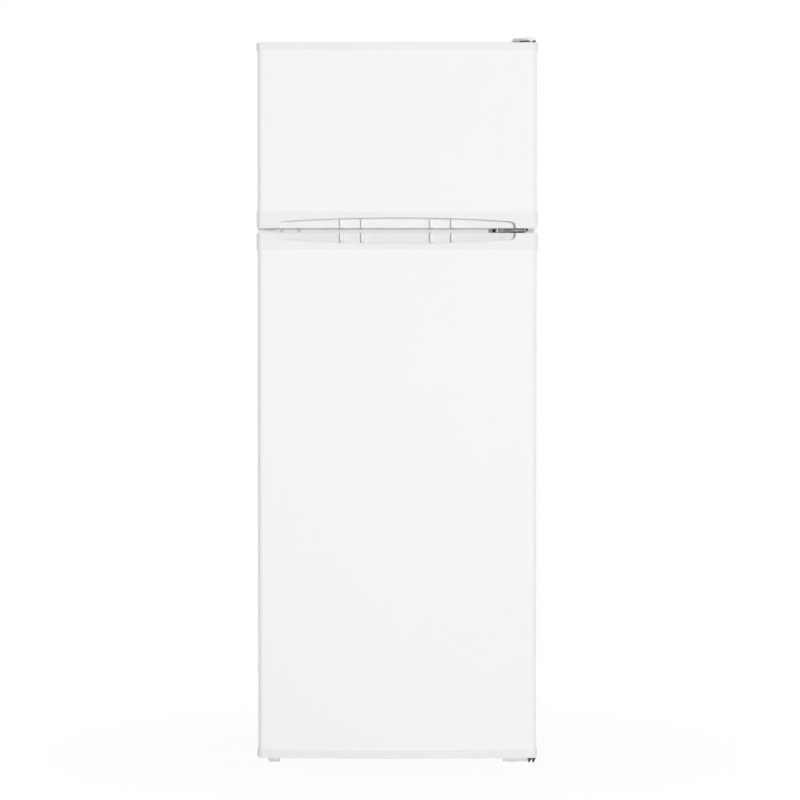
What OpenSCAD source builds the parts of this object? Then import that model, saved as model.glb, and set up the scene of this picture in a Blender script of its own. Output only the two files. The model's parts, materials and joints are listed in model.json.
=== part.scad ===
// Top freezer refrigerator with two bowed doors, pocket handles and right-hand hinges.
// Front faces -Y, width along X, height along Z. The floor is z = 0, and the whole
// object is centred on x = 0 and y = 0.

/* [Cabinet] */
// Width of the steel cabinet
cabinet_w = 544; // [500:2:600]
// Depth of the steel cabinet without doors
cabinet_d = 470; // [430:5:520]
// How far the cabinet top lies below the top of the freezer door
top_step = 4; // [2:1:10]
// Thickness of the cabinet's sheet steel
sheet_t = 0.8; // [0.6:0.1:1.2]
// Thickness of the formed plastic liners
liner_t = 2; // [1.5:0.5:3]
// Insulated side wall, from the outside to the compartment
side_wall = 42; // [36:1:50]
// Insulated roof over the freezer
roof_wall = 47; // [40:1:60]
// Insulated divider between freezer and fridge
divider_wall = 56; // [50:2:66]
// Insulated floor under the fridge compartment
floor_wall = 47.5; // [42:0.5:60]
// Insulated rear wall
rear_wall = 52; // [45:1:65]

/* [Doors] */
// How far a door reaches past each side of the cabinet
door_over = 1; // [0:0.5:4]
// Depth of a door at its edges
door_t = 45; // [42:1:52]
// How far the door front bows out in the middle
door_bow = 12; // [6:1:16]
// Radius of the door's upright front edges
door_edge_r = 13; // [9:1:18]
// Height of the freezer door
freezer_door_h = 360; // [330:5:380]
// Height of the fridge door
fridge_door_h = 1023; // [980:1:1040]
// Gap between the two doors
door_gap = 9; // [9:0.5:12]
// Clearance under the fridge door
floor_gap = 22; // [22:1:30]
// Height of the plain end caps
plain_cap_h = 15; // [12:1:20]
// Height of the end caps that hold the pocket handles
handle_cap_h = 33; // [32:1:40]
// How far the caps stand out from the steel skin
cap_step = 2; // [1:0.5:3]
// Wall of the end caps
cap_wall = 2.5; // [2:0.5:3.5]
// Radius of the caps' outer corners
cap_corner_r = 6; // [3:0.5:8]
// Space that the magnetic gasket fills
gasket_gap = 8; // [7:0.5:10]
// Width of the gasket strip
gasket_w = 15; // [12:1:17]

/* [Pocket handle] */
// Length of the handle recess
grip_w = 460; // [300:10:470]
// Recess height at its ends
grip_end_h = 13; // [10:0.5:15]
// Extra recess height in the middle
grip_rise = 8; // [4:0.5:9]
// Depth of the recess behind the door's edge line
grip_depth = 22; // [16:1:26]
// How far the recess reaches up behind the middle of its front lip
grip_undercut = 5; // [2:0.5:6]
// Thickness of the front lip
grip_lip = 4; // [3:0.5:6]
// Radius of the recess corners
grip_corner_r = 9; // [4:0.5:9.5]
// Width of the ribs in the recess
grip_rib_w = 7; // [4:0.5:10]
// Distance of the two inner ribs from the middle
grip_rib_inner = 67; // [50:1:80]
// Distance of the two outer ribs from the middle
grip_rib_outer = 108; // [95:1:140]

/* [Hinges] */
// Distance of the hinge axis from the door's side
axis_side = 18; // [16:1:20]
// Distance of the hinge axis behind the door's edge line
axis_depth = 15; // [14:1:18]
// Diameter of the hinge pins
pin_d = 8; // [6:0.5:9]
// Length of each hinge pin inside its door
pin_l = 13; // [8:1:14]
// Thickness of the hinge plates
plate_t = 3; // [2:0.5:4]
// Gap between the bottom hinge plate and the fridge door
bottom_gap = 2.5; // [2:0.5:4]
// Outer diameter of the door bushes
bush_d = 12; // [11:0.5:14]

/* [Inside] */
// Depth of the raised frame on the inside of each door
dyke_d = 38; // [30:1:44]
// Width of that raised frame
dyke_w = 26; // [20:1:32]
// Reach of the door bins from the door's inner face
bin_d = 88; // [60:1:90]
// Wall of bins, drawer and trays
bin_wall = 2; // [1.5:0.5:3]
// Thickness of the glass shelves
glass_t = 4; // [3:0.5:5]
// Number of glass shelves
shelves = 3; // [1:1:4]
// Height of the crisper drawer
crisper_h = 194; // [120:2:196]
// Height of the compressor bay
bay_h = 215; // [200:5:240]
// Depth of the compressor bay
bay_d = 165; // [150:5:175]

/* [Back] */
// Space behind the cabinet that the condenser takes
condenser_d = 30; // [26:1:45]
// Diameter of the condenser tube
condenser_tube_d = 4.8; // [4:0.2:6.4]
// Diameter of the condenser wires
wire_d = 1.6; // [1.2:0.1:2.4]
// Spacing of the condenser wires
wire_pitch = 13; // [10:1:24]
// Spacing of the condenser tube runs
run_pitch = 56; // [40:2:90]

/* [Hidden] */

// Smoothness of round parts
$fn = 64;
// Running clearance between a piece and its seat
clear = 0.3;
// Overlap that keeps cuts clean
cut = 1;

// Width of a door across its end caps
door_w = cabinet_w + 2 * door_over;

// Depths, from the front of the bow to the back of the condenser
total_d = door_bow + door_t + gasket_gap + cabinet_d + condenser_d;
edge_y = door_bow - total_d / 2;
door_back_y = edge_y + door_t;
front_y = door_back_y + gasket_gap;
back_y = front_y + cabinet_d;
body_t = door_t - liner_t;
axis_x = door_w / 2 - axis_side;
axis_y = edge_y + axis_depth;

// Heights
fridge_door_z = floor_gap;
fridge_door_top = fridge_door_z + fridge_door_h;
freezer_door_z = fridge_door_top + door_gap;
freezer_door_top = freezer_door_z + freezer_door_h;
gap_z = fridge_door_top + door_gap / 2;
cabinet_base = floor_gap - bottom_gap;
cabinet_top = freezer_door_top - top_step;
fridge_z0 = cabinet_base + floor_wall;
fridge_z1 = gap_z - divider_wall / 2;
freezer_z0 = gap_z + divider_wall / 2;
freezer_z1 = cabinet_top - roof_wall;

// Compartments
room_w = cabinet_w / 2 - side_wall;
room_back = back_y - rear_wall;
room_r = 22;
lip_w = 8;
bay_top = cabinet_base + bay_h;
bay_y = back_y - bay_d;
step_wall = 40;
step_y = bay_y - step_wall;
step_z = bay_top + step_wall;
ledge_w = 9;
ledge_t = 7;
deck_z = 34;
deck_t = 2;

// Door bow
grip_roof = grip_end_h + grip_rise + grip_undercut;
bow_r = (pow(door_w / 2, 2) + pow(door_bow, 2)) / (2 * door_bow);
edge_c = door_w / 2 - door_edge_r;
edge_cy = door_edge_r - door_bow * (1 - pow(2 * edge_c / door_w, 2)) - 0.2;

// Raised frame and bins on the doors
dyke_gap = 8;
dyke_out = room_w - dyke_gap;
dyke_in = dyke_out - dyke_w;
dyke_r = 16;
boss_w = 8;
bin_out = dyke_in - boss_w - 1;
bin_y = door_back_y + clear;
rail_t = 1.5;
bin_front = door_back_y + bin_d;
shelf_y = bin_front + 12;
shelf_back = room_back - room_r - 2;
level_0 = step_z + clear;
level_top = fridge_z1 - 110;
level_step = (level_top - level_0) / (shelves + 1);
ear_t = 3;
ear_drop = 8;

// Heights of the bin floors
freezer_bin_z = freezer_z0 + 34;
freezer_bin_h = 78;
upper_bin_h = 62;
upper_bin_z = fridge_z1 - 176;
middle_bin_h = 74;
middle_bin_z = (fridge_z0 + fridge_z1) / 2 - 10;
bottle_bin_h = 120;
bottle_bin_z = fridge_z0 + 44;

// Feet and rollers
foot_d = 23;
foot_pad_h = 8;
foot_edge_r = 2;
foot_stem_d = 8;
foot_stem_z = cabinet_base + 18;
foot_y = front_y + 55;
left_foot_x = 29 - cabinet_w / 2;
right_foot_x = axis_x - 30;
roller_d = 28;
roller_w = 14;
roller_x = cabinet_w / 2 - 34;
roller_y = back_y - 60;
roller_axle_d = 5;
roller_edge_r = 1.5;
ear_side_t = 2;
ear_side_w = 16;

// Screws
screw_d = 5;
screw_head_d = 8;
screw_head_h = 2.2;
bottom_screw_x = [axis_x - 50, axis_x - 8];
bottom_screw_y = front_y + 24;
center_screw_x = [axis_x - 66, axis_x - 48];
top_screw_y = [front_y + 18, front_y + 42];
top_screw_x = axis_x - 12;
leg_t = 2.5;
plug_d = 5;
plug_x = [47 - cabinet_w / 2, 80 - cabinet_w / 2];
leg_h = 17;
hinge_edge = 11;
bottom_arm_w = 48;
bottom_lip_h = 6.5;
rivet_d = 13;
rivet_h = 2.5;
leaf_z = freezer_door_top + 3;
leaf_y = front_y + 3;
leaf_l = 52;
screw_l = 12;

// Top hinge cover
cover_wall = 1.8;
cover_r = 7;
cover_top = leaf_z + plate_t + 3.5;
cover_x0 = axis_x - 32;
cover_x1 = axis_x + 14;
cover_y0 = axis_y - 13;
cover_y1 = front_y + 62;

// Freezer shelf, with its wires welded into its rods
freezer_shelf_z = freezer_z0 + 150;
shelf_rod_d = 5;
shelf_wire_d = 3;
shelf_wire_pitch = 21;
shelf_weld = 0.6;
freezer_shelf_top = freezer_shelf_z + clear + shelf_rod_d + shelf_wire_d - shelf_weld;

// Ice tray
ice_cells = 7;
ice_cell = 30;
ice_cell_r = 5;
ice_wall = 3;
ice_h = 32;
ice_rim = 5;
ice_end = 12;

// Crisper drawer: rim height, half widths
rim_z = fridge_z0 + clear + crisper_h - ear_t;
drawer_half = room_w - room_r;
rim_half = room_w - 6;
drawer_y0 = shelf_y + 2;
drawer_y1 = step_y - 4;
pull_w = 240;
pull_y = 8;
pull_h = 24;

// Compressor bay
base_t = 1.2;
comp_x = 70;
comp_y = back_y - 84;
comp_d = 136;
comp_z = deck_z + deck_t + 13;
comp_h = 140;
comp_foot_t = 3;
comp_foot_edge = 14;
comp_dome_r = 26;
comp_base_r = 20;
comp_seam = 3;
comp_seam_h = 4;
relay_t = 26;
relay_w = 60;
relay_h = 56;
relay_r = 7;
grommet_d = 22;
grommet_neck = 13;
grommet_x = 84;
grommet_y = 46;
grommet_h = comp_z - deck_z - deck_t;
pan_z = comp_z + comp_h + clear;
pan_h = 22;
pan_r = 12;
pan_x0 = comp_x - comp_d / 2 - 32;
pan_x1 = comp_x + comp_d / 2 + 8;
pan_y0 = comp_y - comp_d / 2 + 12;
pan_y1 = comp_y + comp_d / 2 - 8;
drain_x = 40;
drain_y = room_back + 22;
drain_d = 12;
drain_z = fridge_z0 + 560;
gutter_w = 170;
gutter_y = 8;
gutter_wall = 3;
gutter_h = 12;
line_d = 6.4;
capillary_d = 3;
capillary_x = 50;
discharge_y = comp_y + 18;
discharge_z = comp_z + 40;
suction_y = comp_y - 22;
suction_z = comp_z + 96;
stub_l = 9;
drier_x = -150;
drier_y = back_y - 40;
drier_d = 19;
drier_h = 84;
drier_z = deck_z + deck_t + 60;
drier_neck = drier_d / 2 + 4;
riser_y = back_y + 10;
inlet_x = 57 - cabinet_w / 2;
gland_d = 15;
gland_l = 10;
gland_hole_d = 8.5;

// Condenser
wire_gap = 0.1;
run_y = back_y + condenser_d - wire_d - wire_gap - condenser_tube_d / 2;
run_half = 222;
run_z0 = bay_top + 62;
runs = 2 * floor((cabinet_top - 70 - run_z0) / (2 * run_pitch)) + 1;
run_z1 = run_z0 + (runs - 1) * run_pitch;
wire_overhang = 14;
wire_span = wire_pitch * floor((run_half - 14) / wire_pitch);
clip_x = run_half - 5;
clip_w = 6;
clip_z = [run_z0 + run_pitch, run_z1 - run_pitch];

// Freezer coil
coil_d = 8;
coil_gap = liner_t + 0.2 + coil_d / 2;
coil_r = room_r + coil_gap;
coils = 5;
coil_y0 = front_y + 90;
coil_pitch = (room_back - 40 - coil_y0) / (coils - 1);

// Control housing on the fridge ceiling
box_x0 = 66;
box_x1 = 196;
box_y0 = door_back_y + dyke_d + 16;
box_y1 = box_y0 + 130;
box_z0 = fridge_z1 - 74;
box_wall = 2;
box_r = 10;
knob_x = box_x0 + 36;
knob_z = box_z0 + 24;
knob_d = 34;
knob_h = 12;
knob_shaft_d = 6;
switch_x = box_x1 - 30;
switch_z = fridge_z1 - dyke_gap - dyke_w / 2;
switch_d = 7;
lens_y0 = box_y0 + 50;
lens_y1 = box_y1 - 10;
lens_x0 = box_x0 + 12;
lens_x1 = box_x1 - 12;
lens_drop = 5;
lens_wall = 3;
bulb_y = lens_y0 + 30;
bulb_d = 22;
bulb_neck = 20;
socket_h = box_y1 - box_wall - bulb_y - bulb_neck - clear;
switch_y = door_back_y + dyke_d + clear;

// Evaporator plate
evap_w = 300;
evap_pitch = 34;
evap_channel = 8;
evap_t = 1.5;
evap_gap = 6;

// Doors
skin_lip = 16;
gasket_room = 3;
bush_boss_d = bush_d + 5;
bush_boss_h = pin_l + 4;

// ---------------------------------------------------------------- shared shapes

// Rounded rectangle from (x0, y0) to (x1, y1)
module round_rect(x0, y0, x1, y1, r) {
  translate([x0 + r, y0])
    square([x1 - x0 - 2 * r, y1 - y0]);
  translate([x0, y0 + r])
    square([x1 - x0, y1 - y0 - 2 * r]);
  for (x = [x0 + r, x1 - r], y = [y0 + r, y1 - r])
    translate([x, y])
      circle(r = r);
}

// Extrudes an X-Z drawing from y0 to y1
module along_y(y0, y1)
  translate([0, y1, 0])
    rotate([90, 0, 0])
      linear_extrude(y1 - y0)
        children();

// Extrudes a Y-Z drawing from x0 to x1
module along_x(x0, x1)
  translate([x0, 0, 0])
    rotate([90, 0, 90])
      linear_extrude(x1 - x0)
        children();

// Box between two corners
module block(a, b)
  translate(a)
    cube(b - a);

// Box between x0 and x1, on the right side (1) or mirrored to the left (-1)
module side_block(side, x0, x1, y0, y1, z0, z1)
  translate([side > 0 ? x0 : -x1, y0, z0])
    cube([x1 - x0, y1 - y0, z1 - z0]);

// Open tray: floor and four walls, with rounded upright corners
module tray(x0, y0, z0, x1, y1, z1, r, wall)
  difference() {
    translate([0, 0, z0])
      linear_extrude(z1 - z0)
        round_rect(x0, y0, x1, y1, r);
    translate([0, 0, z0 + wall])
      linear_extrude(z1 - z0)
        round_rect(x0 + wall, y0 + wall, x1 - wall, y1 - wall, max(r - wall, 1));
  }

// Square corner without its rounding, for cutting; the corner points along (dx, dy)
module corner_waste(x, y, r, dx, dy)
  translate([x, y])
    difference() {
      translate([dx > 0 ? 0 : -r - cut, dy > 0 ? 0 : -r - cut])
        square(r + cut);
      circle(r = r);
    }

// Plan of a door: bowed front, round upright edges, small back corners
module door_plan(grow, back) {
  half = door_w / 2 + grow;
  back_r = 3;
  difference() {
    intersection() {
      translate([0, bow_r - door_bow])
        circle(r = bow_r + grow, $fn = 256);
      translate([-half, -door_bow - grow - cut])
        square([2 * half, door_bow + grow + cut + back]);
    }
    for (side = [-1, 1]) {
      corner_waste(side * edge_c, edge_cy, door_edge_r + grow, side, -1);
      corner_waste(side * (half - back_r), back - back_r, back_r, side, 1);
    }
  }
}

// ---------------------------------------------------------------- cabinet

module room(x, z0, z1, y1, r, grow)
  intersection() {
    along_y(front_y - cut, y1 + grow)
      round_rect(-x - grow, z0 - grow, x + grow, z1 + grow, r + grow);
    translate([0, 0, z0 - grow - cut])
      linear_extrude(z1 - z0 + 2 * grow + 2 * cut)
        round_rect(-x - grow, front_y - 2 * r - cut, x + grow, y1 + grow, r + grow);
  }

module freezer_room(grow)
  room(room_w, freezer_z0, freezer_z1, room_back, room_r, grow);

module fridge_room(grow)
  difference() {
    room(room_w, fridge_z0, fridge_z1, room_back, room_r, grow);
    block([-cabinet_w, step_y + grow, 0], [cabinet_w, back_y, step_z - grow]);
  }

// Flat lip of a liner, which snaps behind the cabinet's front flange
module liner_lip(z0, z1)
  along_y(front_y, front_y + liner_t)
    difference() {
      round_rect(-room_w - lip_w, z0 - lip_w, room_w + lip_w, z1 + lip_w, room_r);
      round_rect(-room_w, z0, room_w, z1, room_r);
    }

module outer_shell()
  color("#f2f3f4")
    difference() {
      union() {
        difference() {
          along_y(front_y, back_y - sheet_t)
            shell_outline(0);
          along_y(front_y - cut, back_y)
            shell_outline(sheet_t);
        }
        along_y(front_y, front_y + sheet_t)
          difference() {
            shell_outline(0);
            translate([-room_w - lip_w - clear, 0])
              square([2 * (room_w + lip_w + clear), freezer_z1 + lip_w + clear]);
          }
      }
      for (y = top_screw_y)
        translate([top_screw_x, y, cabinet_top - sheet_t - cut])
          cylinder(d = screw_d + clear, h = sheet_t + 2 * cut);
      for (x = center_screw_x)
        translate([x, front_y - cut, gap_z])
          rotate([-90, 0, 0])
            cylinder(d = screw_d + clear, h = sheet_t + 2 * cut);
    }

// Front view of the folded sheet: two sides and the top
module shell_outline(inset) {
  r = 5 - inset;
  half = cabinet_w / 2 - inset;
  translate([-half, cabinet_base])
    square([2 * half, cabinet_top - inset - r - cabinet_base]);
  translate([r - half, cabinet_base])
    square([2 * (half - r), cabinet_top - inset - cabinet_base]);
  for (side = [-1, 1])
    translate([side * (half - r), cabinet_top - inset - r])
      circle(r = r);
}

// Rear sheet above the compressor bay, with the hole that the foam was poured through
module rear_panel()
  color("#d9dadb")
    difference() {
      along_y(back_y - sheet_t, back_y)
        intersection() {
          shell_outline(0);
          translate([-cabinet_w, bay_top])
            square([2 * cabinet_w, cabinet_top]);
        }
      translate([0, back_y + cut, bay_top + 30])
        rotate([90, 0, 0])
          cylinder(d = 10, h = 3);
    }

// Base sheet stepped up over the compressor bay, and the rail that carries the compressor
module base_deck()
  color("#c9cbcc")
    difference() {
      union() {
        along_x(sheet_t - cabinet_w / 2, cabinet_w / 2 - sheet_t)
          deck_side();
        along_y(front_y, front_y + base_t)
          translate([-room_w - lip_w, cabinet_base])
            square([2 * (room_w + lip_w), floor_wall - lip_w - clear]);
        along_x(sheet_t - cabinet_w / 2, cabinet_w / 2 - sheet_t)
          rail_side();
      }
      for (x = [left_foot_x, right_foot_x])
        translate([x, foot_y, cabinet_base - cut])
          cylinder(d = foot_stem_d + 1, h = base_t + 2 * cut);
      for (x = bottom_screw_x)
        translate([x, bottom_screw_y, cabinet_base - cut])
          cylinder(d = screw_d + clear, h = base_t + 2 * cut);
      translate([drain_x, drain_y, bay_top - cut])
        cylinder(d = drain_d + clear, h = base_t + 2 * cut);
    }

// Side view of the deck: floor, front wall of the bay and its roof
module deck_side() {
  translate([front_y + sheet_t, cabinet_base])
    square([bay_y - front_y - sheet_t, base_t]);
  translate([bay_y - base_t, cabinet_base])
    square([base_t, bay_h + base_t]);
  translate([bay_y - base_t, bay_top])
    square([back_y - sheet_t - bay_y + base_t, base_t]);
}

// Side view of the rail that carries the compressor
module rail_side() {
  rail_y0 = bay_y + 8;
  rail_y1 = back_y - 6;
  lip = 9;
  translate([rail_y0, deck_z])
    square([rail_y1 - rail_y0, deck_t]);
  for (y = [rail_y0, rail_y1 - deck_t])
    translate([y, deck_z - lip])
      square([deck_t, lip + deck_t]);
}

// Foam between the steel shell and the liners
module cabinet_foam()
  color("#e9dfae")
    difference() {
      along_y(front_y + liner_t, back_y - sheet_t)
        intersection() {
          shell_outline(sheet_t);
          translate([-cabinet_w, cabinet_base + base_t])
            square([2 * cabinet_w, cabinet_top]);
        }
      block([-cabinet_w, bay_y - base_t, 0], [cabinet_w, back_y + cut, bay_top + base_t]);
      freezer_room(liner_t);
      fridge_room(liner_t);
      coil_loops(0.1);
      drain_path(drain_d + 0.2, room_back - 9, bay_top - 20);
      for (x = [left_foot_x, right_foot_x])
        translate([x, foot_y, cabinet_base])
          cylinder(d = foot_stem_d + 1, h = foot_stem_z + 2 - cabinet_base);
      for (x = bottom_screw_x)
        translate([x, bottom_screw_y, cabinet_base])
          cylinder(d = screw_d + clear, h = screw_l + 2);
      for (y = top_screw_y)
        translate([top_screw_x, y, cabinet_top - screw_l - 2])
          cylinder(d = screw_d + clear, h = screw_l + 2);
      for (x = center_screw_x)
        translate([x, front_y, gap_z])
          rotate([-90, 0, 0])
            cylinder(d = screw_d + clear, h = screw_l + 2);
    }

// Ledge along a side wall, with a rounded front end
module ledge(side, z, y0, y1)
  translate([side * room_w, 0, z - ledge_t])
    linear_extrude(ledge_t) {
      translate([-ledge_w, y0 + ledge_w])
        square([2 * ledge_w, y1 - y0 - ledge_w]);
      translate([0, y0 + ledge_w])
        circle(r = ledge_w);
    }

module freezer_liner()
  color("#f4f5f6")
    intersection() {
      union() {
        difference() {
          freezer_room(liner_t);
          freezer_room(0);
          block([-cabinet_w, -total_d, 0], [cabinet_w, front_y, cabinet_top]);
        }
        liner_lip(freezer_z0, freezer_z1);
        for (side = [-1, 1])
          ledge(side, freezer_shelf_z, shelf_y, room_back);
      }
      union() {
        freezer_room(liner_t);
        liner_lip(freezer_z0, freezer_z1);
      }
    }

module fridge_liner()
  color("#f4f5f6")
    difference() {
      intersection() {
        union() {
          difference() {
            fridge_room(liner_t);
            fridge_room(0);
            block([-cabinet_w, -total_d, 0], [cabinet_w, front_y, cabinet_top]);
          }
          liner_lip(fridge_z0, fridge_z1);
          for (side = [-1, 1], i = [0:shelves])
            ledge(side, level_0 + i * level_step, shelf_y, room_back);
          for (side = [-1, 1])
            ledge(side, rim_z - clear, shelf_y, step_y);
          drain_gutter();
        }
        union() {
          fridge_room(liner_t);
          liner_lip(fridge_z0, fridge_z1);
        }
      }
      drain_path(drain_d + 0.2, room_back - 9, bay_top - 20);
    }

// Gutter that catches the melt water under the evaporator plate
module drain_gutter()
  difference() {
    block([-gutter_w, room_back - gutter_y - gutter_wall, drain_z - 14],
      [gutter_w, room_back + 1, drain_z + gutter_h]);
    block([gutter_wall - gutter_w, room_back - gutter_y, drain_z - drain_d / 2],
      [gutter_w - gutter_wall, room_back, drain_z + gutter_h + cut]);
  }

// Steel strip across the front of the divider
module divider_strip()
  color("#f2f3f4")
    difference() {
      along_y(front_y, front_y + sheet_t)
        translate([-room_w - lip_w, fridge_z1 + lip_w + clear])
          square([2 * (room_w + lip_w), divider_wall - 2 * (lip_w + clear)]);
      for (x = center_screw_x)
        translate([x, front_y - cut, gap_z])
          rotate([-90, 0, 0])
            cylinder(d = screw_d + clear, h = 2 * cut + sheet_t);
      for (x = plug_x)
        translate([x, front_y - cut, gap_z])
          rotate([-90, 0, 0])
            cylinder(d = plug_d, h = 2 * cut + sheet_t);
    }

// ---------------------------------------------------------------- hinges and fixings

// Plate under the cabinet that carries the lower pin
module bottom_hinge()
  color("#c4c6c8")
    difference() {
      union() {
        translate([0, 0, cabinet_base - plate_t])
          linear_extrude(plate_t) {
            translate([axis_x, axis_y])
              circle(d = 2 * hinge_edge);
            translate([axis_x - 62, front_y - 6])
              square([62 + hinge_edge, 80]);
            translate([axis_x - bottom_arm_w, axis_y])
              square([bottom_arm_w + hinge_edge, front_y - axis_y]);
            translate([axis_x - bottom_arm_w, axis_y - hinge_edge])
              square([bottom_arm_w, 2 * hinge_edge]);
          }
        block([axis_x - bottom_arm_w, axis_y - hinge_edge, cabinet_base - bottom_lip_h],
          [axis_x, axis_y - hinge_edge + plate_t, cabinet_base]);
        translate([axis_x, axis_y, cabinet_base - plate_t - rivet_h])
          cylinder(d = rivet_d, h = plate_t + rivet_h);
        translate([axis_x, axis_y, cabinet_base - plate_t])
          cylinder(d = pin_d, h = fridge_door_z + pin_l - cabinet_base + plate_t);
      }
      translate([right_foot_x, foot_y, cabinet_base - plate_t - cut])
        cylinder(d = foot_stem_d + 1, h = plate_t + 2 * cut);
      for (x = bottom_screw_x)
        translate([x, bottom_screw_y, cabinet_base - plate_t - cut])
          cylinder(d = screw_d + clear, h = plate_t + 2 * cut);
    }

// Angle bracket between the doors, with a pin up and a pin down
module center_hinge()
  color("#b9bbbd")
    difference() {
      union() {
        translate([0, 0, gap_z - plate_t / 2])
          linear_extrude(plate_t) {
            translate([axis_x, axis_y])
              circle(d = 2 * hinge_edge);
            translate([axis_x - 26, axis_y])
              square([26 + hinge_edge, front_y - leg_t - axis_y]);
          }
        along_y(front_y - leg_t, front_y)
          round_rect(axis_x - 76, gap_z - leg_h / 2, axis_x + hinge_edge, gap_z + leg_h / 2, 3);
        translate([axis_x, axis_y, fridge_door_top - pin_l])
          cylinder(d = pin_d, h = door_gap + 2 * pin_l);
      }
      for (x = center_screw_x)
        translate([x, front_y - leg_t - cut, gap_z])
          rotate([-90, 0, 0])
            cylinder(d = screw_d + clear, h = leg_t + 2 * cut);
    }

// Stepped leaf on the cabinet top with the upper pin
module top_hinge()
  color("#b9bbbd")
    difference() {
      union() {
        along_x(axis_x - 28, axis_x + 10)
          leaf_side();
        translate([axis_x, axis_y, leaf_z])
          linear_extrude(plate_t)
            circle(d = 20);
        translate([axis_x, axis_y, freezer_door_top - pin_l])
          cylinder(d = pin_d, h = leaf_z + plate_t - freezer_door_top + pin_l);
      }
      for (y = top_screw_y)
        translate([top_screw_x, y, cabinet_top - cut])
          cylinder(d = screw_d + clear, h = plate_t + 2 * cut);
    }

// Side view of the top leaf, which steps up over the door
module leaf_side() {
  translate([leaf_y, cabinet_top])
    square([leaf_l, plate_t]);
  translate([leaf_y, cabinet_top])
    square([plate_t, leaf_z + plate_t - cabinet_top]);
  translate([axis_y, leaf_z])
    square([leaf_y + plate_t - axis_y, plate_t]);
}

// Plastic cover that clips over the top hinge
module top_hinge_cover()
  color("#eceeef")
    difference() {
      along_y(cover_y0, cover_y1)
        cover_outline(0);
      along_y(cover_y0 + cover_wall, cover_y1 - cover_wall)
        cover_outline(cover_wall);
      block([cover_x0 - cut, cover_y0 - cut, cabinet_top - 2 * cover_r],
        [cover_x1 + cut, front_y + 1, freezer_door_top + 1.5]);
      block([cover_x0 - cut, cover_y0 - cut, cabinet_top - 2 * cover_r - cut],
        [cover_x1 + cut, cover_y1 + cut, cabinet_top]);
    }

// Front view of the hinge cover, carried on below the cabinet top
module cover_outline(inset)
  round_rect(cover_x0 + inset, cabinet_top - 2 * cover_r, cover_x1 - inset, cover_top - inset,
    cover_r - inset);

// Screw with a round head, pointing along +Z, its head below z = 0
module screw(shank)
  union() {
    translate([0, 0, -screw_head_h])
      cylinder(d = screw_head_d, h = screw_head_h);
    cylinder(d = screw_d, h = shank);
  }

module hinge_screws()
  color("#9a9ca0") {
    for (x = bottom_screw_x)
      translate([x, bottom_screw_y, cabinet_base - plate_t])
        screw(plate_t + screw_l);
    for (x = center_screw_x)
      translate([x, front_y - leg_t, gap_z])
        rotate([-90, 0, 0])
          screw(leg_t + screw_l);
    for (y = top_screw_y)
      translate([top_screw_x, y, cabinet_top + plate_t])
        rotate([180, 0, 0])
          screw(plate_t + screw_l);
  }

// Plugs in the unused holes for hinges on the other side
module hinge_hole_plugs()
  color("#8f9194")
    for (x = plug_x)
      translate([x, front_y, gap_z])
        rotate([90, 0, 0]) {
          cylinder(d = screw_head_d, h = 1.8);
          translate([0, 0, -sheet_t])
            cylinder(d = plug_d, h = sheet_t);
        }

// Levelling foot with its pad on the floor
module foot(x)
  color("#d3d5d6")
    translate([x, foot_y, 0]) {
      rotate_extrude() {
        square([foot_d / 2 - foot_edge_r, foot_pad_h]);
        translate([0, foot_edge_r])
          square([foot_d / 2, foot_pad_h - 2 * foot_edge_r]);
        for (z = [foot_edge_r, foot_pad_h - foot_edge_r])
          translate([foot_d / 2 - foot_edge_r, z])
            intersection() {
              circle(r = foot_edge_r);
              translate([0, -foot_edge_r])
                square([foot_edge_r, 2 * foot_edge_r]);
            }
      }
      translate([0, 0, foot_pad_h])
        cylinder(d = foot_stem_d, h = foot_stem_z - foot_pad_h);
    }

module front_left_foot()
  foot(left_foot_x);

module front_right_foot()
  foot(right_foot_x);

// Two ears and an axle for each rear roller
module roller_brackets()
  color("#a9abae")
    for (side = [-1, 1]) {
      translate([side * roller_x, 0, 0])
        for (ear = [-1, 1])
          translate([ear * (roller_w + ear_side_t + 2) / 2, 0, 0])
            along_x(-ear_side_t / 2, ear_side_t / 2)
              roller_ear();
      translate([side * roller_x - roller_w / 2 - 1, roller_y, roller_d / 2])
        rotate([0, 90, 0])
          cylinder(d = roller_axle_d, h = roller_w + 2);
    }

module roller_ear() {
  translate([roller_y, roller_d / 2])
    circle(d = ear_side_w);
  translate([roller_y - ear_side_w / 2, roller_d / 2])
    square([ear_side_w, deck_z - roller_d / 2]);
}

module roller(side)
  color("#55585c")
    translate([side * roller_x - roller_w / 2, roller_y, roller_d / 2])
      rotate([0, 90, 0])
        rotate_extrude() {
          translate([roller_axle_d / 2 + clear, 0])
            square([(roller_d - roller_axle_d) / 2 - clear - roller_edge_r, roller_w]);
          translate([roller_d / 2 - roller_edge_r - cut, roller_edge_r])
            square([roller_edge_r + cut, roller_w - 2 * roller_edge_r]);
          for (z = [roller_edge_r, roller_w - roller_edge_r])
            translate([roller_d / 2 - roller_edge_r, z])
              circle(r = roller_edge_r);
        }

module left_rear_roller()
  roller(-1);

module right_rear_roller()
  roller(1);

// ---------------------------------------------------------------- cooling system

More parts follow.
